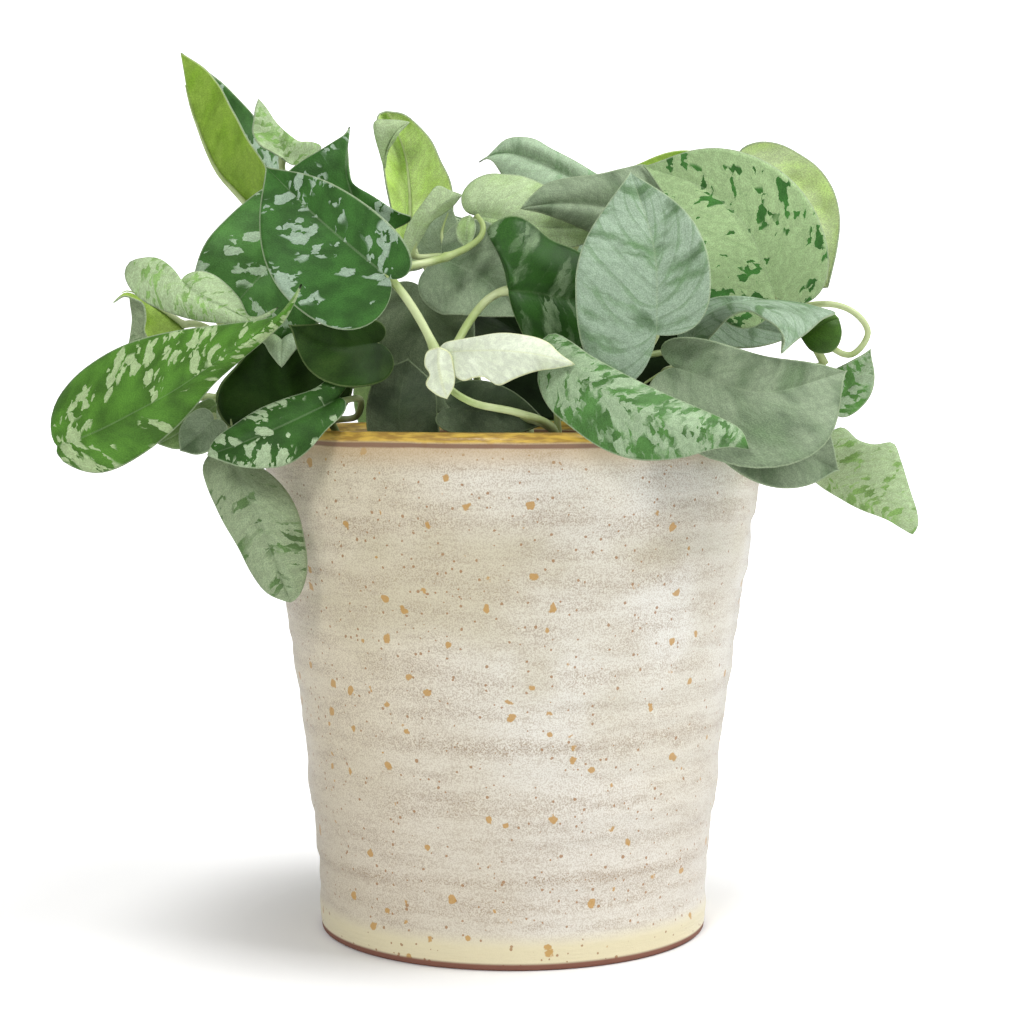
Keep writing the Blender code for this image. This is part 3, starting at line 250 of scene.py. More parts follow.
# The blades: midrib from sinus to tip, upper side's direction, and the vine and share of it that the
# petiole grows from. A blade has the widths of its left and right halves with the fold and cup of each
# in degrees, or its left and right margins between sinus and tip with each half's belly in millimetres
LEAVES = [
    dict(name="leaf_left_1", up=(9, -2, 4), belly=(0, -2), vine="vine_left", at=1.0, look="lime",
         rib=[(-82.5, 229.5, -7), (-88.5, 236, -8), (-94.5, 242.5, -9), (-98.5, 250, -10),
              (-101.5, 257.5, -11), (-104, 264.5, -12), (-107.5, 281, -13)],
         left=[(-74, 231.5, -14), (-77, 239, -19), (-80.5, 245.5, -21), (-87, 253.5, -21), (-91, 262, -19),
               (-94.5, 270, -17), (-100.5, 276, -15)],
         right=[(-72.5, 230.5, 6), (-71.5, 237, 12), (-74.5, 242.5, 14), (-78.5, 254, 13),
                (-84, 261.5, 10), (-92.5, 269, 2), (-101.5, 276.5, -8)]),
    dict(name="leaf_left_2", up=(3, -9, 2), belly=(0, 0), vine="vine_left", at=0.96, look="silver",
         rib=[(-74, 246, -28), (-75, 251, -29), (-78, 257.5, -31), (-82.5, 266, -33)],
         left=[(-75, 247, -30), (-78.5, 249, -32), (-82, 251, -34), (-84, 255, -35), (-84, 259, -35),
               (-83.5, 263, -34)],
         right=[(-71, 244.5, -27), (-66.5, 246, -25), (-62, 250.5, -24), (-65, 252, -25), (-69, 252, -26),
                (-73, 254.5, -27), (-77, 258.5, -29), (-80, 263, -31)]),
    dict(name="leaf_left_3", up=(0, -9, 3), belly=(1.5, 1), vine="vine_left", at=0.8, look="dark",
         rib=[(-47.5, 225.5, -34), (-51.5, 233.5, -35), (-54, 243.5, -35), (-53, 257, -33)],
         left=[(-52, 220.5, -32), (-61, 219.5, -31), (-69, 224, -31), (-73.5, 231.5, -31),
               (-74, 240.5, -32), (-69, 245.5, -33), (-62.5, 249.5, -34), (-57.5, 252.5, -34),
               (-54.5, 254.5, -34)],
         right=[(-42, 223, -33), (-36, 225, -32), (-32.5, 227.5, -33), (-37.5, 229.5, -35),
                (-45.5, 234.5, -36), (-52, 238.5, -36), (-53, 242.5, -35), (-53.5, 248, -34),
                (-54, 252.5, -33)]),
    dict(name="leaf_left_4", rib=[(-40, 208, -70), (-62, 226.5, -70), (-80.5, 244.5, -60)], up=(0, -10, 0),
         halves=(24, 13), fold=(6, 20), lobe=(0.1, 0.07), vine="vine_front", at=1.0, look="dark"),
    dict(name="leaf_left_5", up=(-1, -9, 2), belly=(2.5, 2.5), vine="vine_left", at=0.55, look="dark",
         rib=[(-62, 226, -44), (-72.5, 218.5, -48), (-82.5, 208, -49), (-88.5, 201, -48),
              (-92.5, 194, -46)],
         left=[(-55.5, 220.5, -42), (-53.5, 210.5, -43), (-55, 201.5, -46), (-60.5, 195.5, -46),
               (-70.5, 189.5, -45), (-79.5, 187.5, -44), (-86.5, 188.5, -44), (-90, 191, -45)],
         right=[(-64, 233.5, -43), (-71.5, 238.5, -44), (-80.5, 237.5, -46), (-87.5, 232.5, -48),
                (-94, 226, -49), (-99.5, 219.5, -51), (-102.5, 213, -51), (-103.5, 207.5, -50),
                (-101, 201.5, -49), (-97, 197, -48)], arrive=(-0.3, 0.95),
         through=[(-50, 205, -33), (-54, 217, -40)]),
    dict(name="leaf_left_6", up=(0, -9, 1), belly=(1.5, 2), vine="vine_left_low", at=0.75, look="silver",
         arrive=(-0.5, 0.85),
         rib=[(-107.5, 207, -66), (-101.5, 202, -69), (-93.5, 198.5, -70), (-85, 195, -68),
              (-76, 198.5, -63)],
         left=[(-105.5, 209, -65), (-101.5, 210, -65), (-97, 209, -65), (-92.5, 205.5, -65),
               (-88.5, 201, -65), (-85.5, 195.5, -66), (-81, 195.5, -65)],
         right=[(-110, 210.5, -64), (-114.5, 214, -62), (-119, 214.5, -61), (-124, 213, -60),
                (-125.5, 209.5, -60), (-124, 205, -61), (-119.5, 200.5, -63), (-113, 197.5, -65),
                (-103, 194.5, -68), (-93.5, 193.5, -70), (-83.5, 194, -68), (-79.5, 195.5, -65)]),
    dict(name="leaf_left_7", up=(0, -9, 2), belly=(2, 2), vine="vine_left_low", at=0.95, look="dark",
         rib=[(-147.5, 153.5, -74), (-135.5, 158, -80), (-122.5, 164.5, -85), (-109.5, 171.5, -88),
              (-96.5, 180.5, -89), (-85, 188, -88), (-76, 195.5, -86), (-71.5, 201, -84),
              (-68.5, 206, -82)],
         left=[(-149, 157, -72), (-149, 162.5, -71), (-147, 169, -71), (-142, 176, -72), (-134, 182, -73),
               (-123.5, 187, -75), (-113, 190, -77), (-101.5, 192, -79), (-88.5, 193.5, -81),
               (-80, 194.5, -83), (-74.5, 196.5, -84), (-71, 201.5, -84)],
         right=[(-147, 150, -73), (-142, 146.5, -73), (-135.5, 145, -74), (-128, 146.5, -76),
                (-119, 151.5, -78), (-110, 159, -80), (-103.5, 166, -82), (-97, 173.5, -83),
                (-88.5, 181, -84), (-80.5, 188, -84), (-74, 194.5, -84), (-70.5, 201, -83)]),
    dict(name="leaf_left_8", up=(0, -9, 4), belly=(1.5, 1), vine="vine_left_low", at=0.25, look="dark",
         rib=[(-57.5, 168.5, -60), (-67.5, 163.5, -66), (-80.5, 157.5, -71), (-91.5, 153, -71),
              (-99, 150.5, -69)],
         left=[(-55.5, 169, -60), (-54, 167, -62), (-55, 164, -64), (-60.5, 158.5, -67), (-66.5, 152, -70),
               (-73.5, 147.5, -72), (-80.5, 146, -73), (-87, 146.5, -73), (-93.5, 148.5, -71)],
         right=[(-55.5, 171, -59), (-53, 175, -58), (-53, 179, -58), (-57.5, 177.5, -59),
                (-64, 172.5, -61), (-74, 168.5, -63), (-84, 164.5, -65), (-91.5, 159.5, -67),
                (-97, 155, -68)],
         through=[(-51, 163, -30), (-50, 169, -48)]),
    dict(name="leaf_left_9", up=(0, -9, 3), up_tip=(0, 3, -9), belly=(-4, -4), vine="vine_left_low",
         at=0.35, look="silver",
         rib=[(-72.5, 166, -43), (-73.5, 172.5, -43), (-75, 180, -44), (-75, 186, -47), (-75, 187.5, -51),
              (-75, 184.5, -55), (-75, 179, -57)],
         left=[(-80, 158, -44), (-91.5, 159.5, -45), (-96, 166, -46), (-95, 173, -47), (-89, 180, -47),
               (-84, 185.5, -48), (-81, 187, -51), (-78.5, 183.5, -54)],
         right=[(-64.5, 159, -43), (-55.5, 164.5, -42), (-52, 172.5, -43), (-54, 179.5, -44),
                (-59.5, 184.5, -45), (-65, 186.5, -47), (-68.5, 187, -51), (-72, 183, -54)],
         arrive=(0.1, 1.0)),
    dict(name="leaf_left_10", up=(0, 1, -9), belly=(0, 0), vine="vine_left_low", at=0.72, look="lime",
         rib=[(-106.5, 191, -34), (-113, 196, -35), (-118.5, 199.5, -36), (-122, 202, -37),
              (-125.5, 203, -39), (-129.5, 200, -42)],
         left=[(-110.5, 184.5, -30), (-117.5, 182, -30), (-124, 184.5, -31), (-124, 189.5, -32),
               (-123.5, 195, -33), (-124, 199.5, -35), (-124.5, 202, -37), (-126.5, 202.5, -40)],
         right=[(-108, 186, -39), (-113, 184, -41), (-117.5, 185.5, -42), (-120, 189.5, -42),
                (-119, 195, -41), (-120, 199.5, -40), (-123, 201, -40), (-126, 202, -41)]),
    dict(name="leaf_left_11", up=(-3, -9, 0), belly=(1.5, 2), vine="vine_left_low", at=0.9, look="silver",
         rib=[(-93, 151, -52), (-88.5, 142, -57), (-83.5, 131, -60), (-78, 118, -61), (-72, 103, -59)],
         left=[(-97, 151.5, -53), (-100, 147, -54), (-99, 140.5, -56), (-95, 132, -58), (-89.5, 122, -60),
               (-85, 112.5, -60), (-79.5, 106, -60), (-74, 103.5, -59)],
         right=[(-88.5, 149.5, -51), (-81.5, 146.5, -52), (-75.5, 141.5, -53), (-70.5, 133.5, -55),
                (-67.5, 124.5, -56), (-66.5, 116, -57), (-68, 108, -58), (-70, 104.5, -59)]),
    dict(name="leaf_left_12", rib=[(-44, 187, -50), (-58, 186, -60), (-73, 193, -60)], up=(0, -9, 1),
         halves=(13, 8), fold=10, lobe=0.12, vine="vine_left", at=0.35, arrive=(0.2, 1.0), look="dark"),
    dict(name="leaf_left_13", rib=[(-97, 162, -58), (-102, 157, -61), (-108, 152, -61)], up=(0, -9, 2),
         halves=(6.5, 6.5), fold=10, lobe=0.1, shoulder=0.5, apex=0.7, vine="vine_left_low", at=1.0,
         look="silver"),
    dict(name="leaf_middle_1", rib=[(-30, 205, -22), (-27, 185, -28), (-16, 159, -34)], up=(-1, -9, 2),
         halves=(16, 15), fold=10, lobe=0.06, vine="vine_middle", at=0.7, look="silver"),
    dict(name="leaf_middle_2", rib=[(-35, 151, -43), (-37, 165, -46), (-34, 182, -45)], up=(0, -9, -1),
         halves=(10, 12), fold=10, lobe=0.1, shoulder=0.5, apex=0.9, vine="vine_middle", at=0.12,
         look="silver"),
    dict(name="leaf_middle_3", rib=[(-20, 166, -56), (-6, 164, -62), (12, 161, -60)], up=(0, -9, 4),
         halves=(10, 9), fold=10, lobe=0.12, vine="vine_front", at=0.3, look="silver"),
    dict(name="leaf_middle_4", rib=[(58, 183, 8), (44, 175, 6), (30, 165, 4)], up=(0, 9, 2),
         halves=(14, 14), fold=10, lobe=0.12, vine="vine_right", at=0.4, look="dark"),
    dict(name="leaf_right_1", up=(0, 9, 2), belly=(2, 3), vine="vine_middle", at=0.5, look="lime",
         rib=[(-34, 218.5, 3), (-33.5, 226, 6), (-33.5, 236.5, 9), (-35, 248, 9), (-38, 256.5, 7),
              (-41, 262, 4)],
         left=[(-27, 217.5, 5), (-20.5, 224, 3), (-19.5, 234, 1), (-20.5, 240, 2), (-23.5, 246, 3),
               (-26.5, 252.5, 4), (-31, 257.5, 5), (-35.5, 261, 5)],
         right=[(-38, 223, 2), (-39.5, 230.5, 1), (-41, 237.5, 0), (-42, 244.5, 0), (-43.5, 252.5, 1),
                (-44, 258.5, 2), (-43.5, 261, 3)],
         through=[(-23, 203, 0)]),
    dict(name="leaf_right_2", up=(-3, -9, 2), belly=(0.5, 0.5), vine="vine_middle", at=0.97, look="silver",
         rib=[(-34, 215, -33), (-31, 223, -35), (-25.5, 230, -36), (-20.5, 233.5, -36), (-16.5, 235, -35)],
         left=[(-35.5, 218.5, -33), (-34.5, 223.5, -34), (-32, 228.5, -35), (-27.5, 234.5, -36),
               (-24.5, 238, -36), (-20.5, 236.5, -36)],
         right=[(-32.5, 216, -32), (-29.5, 221.5, -33), (-26, 226.5, -34), (-22, 229.5, -34),
                (-19, 232, -34)]),
    dict(name="leaf_right_3", rib=[(-18, 213, -8), (-23, 221, -8), (-20, 232, -8)], up=(0, 9, 1),
         halves=(9, 9), fold=10, lobe=0.1, vine="vine_middle", at=0.8, look="silver"),
    dict(name="leaf_right_4", up=(-3, -9, 0), belly=(3, 2), vine="vine_front", at=0.9, look="dark",
         rib=[(-1.5, 204, -70), (5.5, 203.5, -68), (13.5, 202, -65), (23.5, 201, -60), (32, 201, -55)],
         left=[(-2.5, 210, -69), (-4.5, 216, -68), (-7, 220.5, -67), (-8.5, 223.5, -66), (-6, 226, -65),
               (-1.5, 228, -64), (2.5, 227.5, -63), (6.5, 225, -62), (12, 220.5, -60), (20, 217, -57),
               (28, 210.5, -55)],
         right=[(0, 197.5, -70), (2, 192, -69), (5, 186.5, -68), (10.5, 183.5, -66), (18.5, 184.5, -63),
                (26.5, 189.5, -59)]),
    dict(name="leaf_right_5", rib=[(46.5, 189.5, -74), (46, 216, -76), (38, 243, -62)], up=(0, -9, 1),
         halves=(24, 15.5), fold=8, lobe=(0.28, 0.0), vine="vine_right", at=0.35, look="silver"),
    dict(name="leaf_right_6", rib=[(85, 202, -24), (76, 224, -32), (62, 237, -32), (42, 244.5, -28)],
         up=(0.5, -9, 1), halves=(22, 21), fold=8, lobe=0.1, vine="vine_right_low", at=1.0, look="silver",
         through=[(93, 197.5, -15), (103, 199.5, -16), (111, 196.5, -17), (115, 190, -14), (109, 183, -13)]),
    dict(name="leaf_right_7", up=(0, -9, 1), belly=(3, 3), vine="vine_right", at=0.8, look="silver",
         rib=[(46, 225, -26), (34.5, 230, -31), (23.5, 232, -35), (12, 232, -39), (2.5, 230.5, -42)],
         left=[(43.5, 217, -26), (34, 217.5, -29), (25, 223, -33), (15, 227, -37), (8, 229.5, -40)],
         right=[(51.5, 231.5, -24), (50, 239, -24), (43.5, 244.5, -26), (36, 243.5, -29),
                (27.5, 241.5, -32), (18.5, 240.5, -35), (11, 238.5, -38), (6, 234.5, -40)]),
    dict(name="leaf_right_8", rib=[(74, 235, 12), (56, 242.5, 12), (37.5, 244, 8)], up=(0, 9, 1),
         halves=(8, 10), fold=10, lobe=0.1, vine="vine_back_right", at=1.0, look="lime"),
    dict(name="leaf_right_9", up=(0, -9, 3), belly=(0.5, 1), vine="vine_front", at=0.95, look="lime",
         rib=[(-24.5, 183.5, -84), (-15.5, 184.5, -88), (-2.5, 184.5, -92), (9.5, 183, -90),
              (20, 180, -85)],
         left=[(-22.5, 186.5, -84), (-17, 188, -86), (-9, 189, -88), (-0.5, 190, -90), (7, 189, -89),
               (11.5, 187, -88), (15, 183.5, -87)],
         right=[(-22.5, 180, -84), (-19, 176.5, -85), (-15.5, 174.5, -86), (-12.5, 175.5, -88),
                (-9.5, 176, -89), (-7, 174.5, -88), (-5, 173.5, -88), (0.5, 175.5, -89), (8, 178, -88),
                (14.5, 179, -86)]),
    dict(name="leaf_right_10", up=(2, 9, 2), belly=(3, 3), vine="vine_right", at=1.0, look="lime",
         rib=[(75, 241, -6), (88, 237, -1), (97, 226, 0), (100.5, 215, -3), (102, 205, -7)],
         left=[(74, 234.5, -7), (80.5, 223, -5), (88, 213, -4), (95, 207, -5), (99.5, 205, -6)],
         right=[(72.5, 245.5, -6), (74, 249.5, -6), (79.5, 252, -6), (86, 251.5, -5), (93, 248, -4),
                (99, 243.5, -3), (103.5, 237, -3), (105.5, 230.5, -3), (106, 225, -4), (105, 217.5, -5),
                (103.5, 211, -6)]),
    dict(name="leaf_right_11", up=(0, -9, 4), belly=(1.5, 2), vine="vine_right", at=0.9, look="silver",
         rib=[(29.5, 236, 6), (18.5, 241, 6), (8.5, 245.5, 5), (-1, 248.5, 4), (-7.5, 247.5, 3),
              (-11, 245.5, 2)],
         left=[(26.5, 229.5, 4), (15, 230.5, 3), (5, 234.5, 2), (-2.5, 240, 2), (-5, 243.5, 2),
               (-7, 246, 2), (-9, 246.5, 2)],
         right=[(34, 240, 7), (30, 240.5, 7), (21.5, 245, 7), (12.5, 250, 6), (7.5, 253, 5),
                (2.5, 253.5, 4), (-2.5, 252.5, 4), (-6, 249.5, 3), (-8.5, 247, 2)]),
    dict(name="leaf_right_12", up=(0, -9, 1), belly=(2, 1), vine="vine_middle", at=1.0, look="silver",
         rib=[(-12.5, 228.5, -22), (-2.5, 226.5, -25), (8.5, 224.5, -26), (20, 224.5, -25),
              (28, 224, -24)],
         left=[(-15, 229.5, -21), (-16.5, 232.5, -20), (-16, 236, -19), (-13, 239.5, -18),
               (-8, 241.5, -18), (-3, 241.5, -18), (3, 241, -19), (9.5, 238.5, -20), (19, 232.5, -22)],
         right=[(-10.5, 226, -22), (-7, 223, -23), (-1, 221, -24), (7, 218.5, -25), (16, 217.5, -25),
                (23.5, 219.5, -24)]),
    dict(name="leaf_right_13", up=(0, -3, 9), belly=(2, 1), vine="vine_right_low", at=0.7, look="silver",
         rib=[(57.5, 185.5, -40), (59.5, 192.5, -42), (66, 198, -46), (74, 200, -52), (82.5, 197.5, -60),
              (87, 192, -68), (87, 183.5, -73)],
         left=[(54.5, 186.5, -38), (53, 190.5, -37), (55.5, 195, -35), (60.5, 200, -38), (67.5, 202, -39),
               (77, 202, -39), (88, 200, -38), (98, 198, -38), (104.5, 196.5, -41), (100, 194, -50),
               (93, 189, -64)],
         right=[(58.5, 182.5, -42), (61, 184, -45), (63.5, 188.5, -49), (67.5, 192.5, -53),
                (72.5, 196, -58), (77.5, 197.5, -63), (81.5, 195.5, -67), (85.5, 192, -70),
                (88, 187.5, -72)]),
    dict(name="leaf_right_14", rib=[(60, 197, 0), (74, 193, -2), (92, 189, -2)], up=(0, -9, 2),
         halves=(9, 9), fold=10, lobe=0.1, vine="vine_right", at=0.6, look="silver"),
    dict(name="leaf_right_15", rib=[(52.5, 179, -64), (80, 171, -65), (108.5, 178, -46)], up=(1, -9, 1),
         halves=(11.5, 23.5), fold=(8, 12), lobe=0.1, widest=(0.28, 0.36), vine="vine_right_low", at=0.2,
         look="dark"),
    dict(name="leaf_right_16", rib=[(72, 165, -54), (90, 154, -54), (106, 145.5, -46)], up=(0, -9, 1),
         halves=(16, 16), fold=10, lobe=0.12, vine="vine_right_low", at=0.4, look="dark"),
    dict(name="leaf_right_17", up=(0, -9, 3), belly=(1, 1), vine="vine_front", at=0.2, look="dark",
         rib=[(13, 181.5, -78), (25, 173.5, -88), (41, 165, -94), (57.5, 159, -92), (69.5, 155.5, -84),
              (76.5, 152.5, -78)],
         left=[(10, 184, -76), (9.5, 187.5, -75), (13, 190, -76), (18, 188, -78), (25, 183, -82),
               (34.5, 177.5, -85), (46, 172, -87), (57.5, 167, -86), (67.5, 162, -82), (74, 158, -79)],
         right=[(9.5, 180, -76), (8, 176.5, -76), (9, 171.5, -78), (12.5, 165, -82), (20, 158.5, -88),
                (29.5, 152.5, -91), (41, 149, -91), (53.5, 149.5, -89), (64, 152.5, -85),
                (71.5, 153.5, -80)]),
    dict(name="leaf_right_18", rib=[(104, 167, -12), (111, 175, -12), (116, 185, -14)], up=(1, -9, 1),
         halves=(8, 7), fold=10, lobe=0.1, vine="vine_right_low", at=0.9, look="silver"),
    dict(name="leaf_right_19", up=(2, -9, 2), belly=(2, 0), vine="vine_right_low", at=0.8, look="silver",
         rib=[(97, 148.5, -10), (106.5, 140.5, -12), (119, 132.5, -13), (129.5, 125, -14)],
         left=[(100, 155, -11), (106.5, 159.5, -12), (112, 155.5, -14), (117.5, 154, -16),
               (123, 154.5, -17), (125.5, 149, -17), (128.5, 140.5, -16), (131, 132, -15),
               (131, 127.5, -14)],
         right=[(95.5, 145, -9), (98.5, 141.5, -9), (107.5, 135.5, -10), (120.5, 130, -12),
                (126, 127, -13)]),
    dict(name="leaf_right_20", rib=[(-22, 214, -32), (-10, 208, -37), (4, 195, -44)], up=(0, -9, 2),
         halves=(16, 17), fold=10, lobe=0.12, vine="vine_middle", at=0.9, look="silver"),
    dict(name="leaf_back_1", rib=[(-60, 211, 48), (-80, 209, 62), (-94, 189, 70)], up=(-4, 6, 9),
         halves=(20, 20), fold=12, lobe=0.15, vine="vine_back_left", at=1.0, look="dark"),
    dict(name="leaf_back_2", rib=[(-42, 211, 60), (-50, 215, 84), (-54, 199, 108)], up=(-2, 5, 9),
         halves=(19, 19), fold=12, lobe=0.15, vine="vine_back_left", at=0.9, look="silver"),
    dict(name="leaf_back_3", rib=[(-8, 219, 56), (-10, 225, 80), (-12, 211, 104)], up=(0, 5, 9),
         halves=(21, 21), fold=12, lobe=0.15, vine="vine_back", at=1.0, look="dark"),
    dict(name="leaf_back_4", rib=[(34, 213, 50), (40, 219, 74), (42, 205, 100)], up=(1, 5, 9),
         halves=(19, 19), fold=12, lobe=0.15, vine="vine_back_right", at=0.9, look="silver"),
    dict(name="leaf_back_5", rib=[(62, 202, 50), (80, 204, 60), (94, 189, 68)], up=(4, 5, 9),
         halves=(20, 20), fold=12, lobe=0.12, vine="vine_back_right", at=1.0, look="dark"),
    dict(name="leaf_back_6", rib=[(-68, 173, 50), (-84, 167, 62), (-92, 145, 68)], up=(-5, 6, 5),
         halves=(17, 17), fold=12, lobe=0.12, vine="vine_back_left", at=0.5, look="silver"),
    dict(name="leaf_back_7", rib=[(-30, 175, 78), (-36, 169, 100), (-40, 141, 110)], up=(-2, 8, 5),
         halves=(19, 19), fold=12, lobe=0.12, vine="vine_back", at=0.6, look="dark"),
    dict(name="leaf_back_8", rib=[(16, 177, 76), (20, 171, 100), (22, 145, 112)], up=(1, 8, 5),
         halves=(20, 20), fold=12, lobe=0.12, vine="vine_back", at=0.5, look="dark"),
    dict(name="leaf_back_9", rib=[(58, 173, 60), (72, 167, 80), (82, 141, 86)], up=(4, 8, 5),
         halves=(19, 19), fold=12, lobe=0.12, vine="vine_back_right", at=0.5, look="silver"),
    dict(name="leaf_back_10", rib=[(-58, 221, 20), (-64, 233, 34), (-68, 229, 52)], up=(-2, 3, 9),
         halves=(17, 17), fold=12, lobe=0.15, vine="vine_left", at=0.7, look="silver"),
    dict(name="leaf_back_11", rib=[(20, 221, 20), (24, 231, 36), (26, 225, 56)], up=(1, 3, 9),
         halves=(18, 18), fold=12, lobe=0.15, vine="vine_back", at=0.9, look="dark"),
    dict(name="leaf_back_12", rib=[(18, 175, 16), (2, 190, 14), (-20, 203, 8)], up=(-2, -9, 4),
         halves=(20, 20), fold=10, lobe=0.15, vine="vine_back", at=0.3, look="dark"),
]

# Small leaves and bits that the scene adds, with their finishes, as the measured blades are given
SMALL_LEAVES = [
    dict(name="rolled_corner", up=(-6, -9, 2), belly=(1.5, 1), look="lime",
         sides=("light_plain", "lime_under"),
         rib=[(-41.5, 243.6, -1), (-40.5, 250, -3), (-38, 255, -4), (-33.5, 258.5, -3)],
         left=[(-42.8, 249.5, -1), (-44.1, 255, -1), (-44.1, 258.8, -2), (-40, 259.2, -3)],
         right=[(-40.5, 248.8, -3), (-37.9, 253.4, -4)]),
    dict(name="papery_sheath", up=(-1, -9, 1), belly=(-1, -1), look="lime", sides=("young", "young"),
         rib=[(-24, 185.5, -88), (-24.2, 180, -89), (-23, 174, -88), (-21.4, 168.8, -86)],
         left=[(-27.9, 184, -86), (-28.6, 179.8, -86), (-27, 176.8, -87), (-28.2, 173.3, -86),
               (-25, 170.2, -86)],
         right=[(-20.4, 183.7, -88), (-19, 178.2, -87), (-19, 173.3, -86)]),
    dict(name="tucked_leaf", up=(0, -9, 3), belly=(1, 1), look="dark", sides=("green_under", "green_under"),
         rib=[(-96, 167, -50), (-102, 162, -51), (-108, 158, -51), (-115, 154.2, -50)],
         left=[(-97, 161, -50), (-100, 155, -50), (-104.7, 153.2, -50), (-109.5, 152.7, -50)],
         right=[(-98, 169, -50), (-105, 165, -50), (-111, 160, -50)]),
    dict(name="turned_lobe", up=(1, -9, -3), belly=(2, 2), look="dark", sides=("dark_smooth", "dark_smooth"),
         rib=[(93, 189.5, -37), (98, 192, -38), (102, 194, -38), (105.3, 195, -36)],
         left=[(95, 193, -37), (98, 196, -37), (102.7, 197, -36)],
         right=[(96.9, 184.7, -37), (103.4, 184, -37), (106.3, 190.2, -36)]),
    dict(name="curled_bud", up=(0, -9, 1), belly=(-2, -2), look="lime", sides=("light_plain", "pale_lime_painted_light"),
         rib=[(-15.2, 217.8, -43), (-15.2, 221, -44), (-14.8, 225, -44), (-13.9, 228.5, -43)],
         left=[(-17.8, 220.3, -42), (-18.5, 224.2, -42), (-16.8, 227.4, -42)],
         right=[(-12.8, 221, -42), (-12.1, 224.2, -42), (-12.6, 227.1, -42)]),
]
# The side shoot between the blades, as (x, z, depth), with its radius, waist, taper, and its node's place,
# reach and swelling
SIDE_SHOOT = [(-38, 210.5, -62), (-33, 212, -58), (-26.9, 213.2, -54), (-19.1, 215.8, -51),
              (-13.9, 218.4, -49), (-10.4, 221.5, -48), (-9.7, 225, -47), (-11.7, 228.3, -45)]
SIDE_SHOOT_RADIUS, SIDE_SHOOT_WAIST, SIDE_SHOOT_TAPER = 1.25, 1.05, 0.45
SIDE_SHOOT_NODE, SIDE_NODE_REACH, SIDE_NODE_SWELL = 0.47, 0.03, 0.3
# Petioles in front of the plant are thicker than the rest
THICK_PETIOLES = {"leaf_left_4": 1.4, "leaf_right_4": 1.35, "leaf_right_9": 1.3}

# Finishes of the blades' sides: colours, share and size of the patches, and the sheen
PLAIN_FINISH = dict(green=(0.05, 0.14, 0.03), silver=(0.33, 0.45, 0.33), margin=(0.36, 0.46, 0.28),
                    amount=2.0, patches=3.4, stretch=0.75, soft=0.0, veins=0.15, midrib=0.3, grain=0.16,
                    bump=0.3, rough=0.48, gloss=0.2)
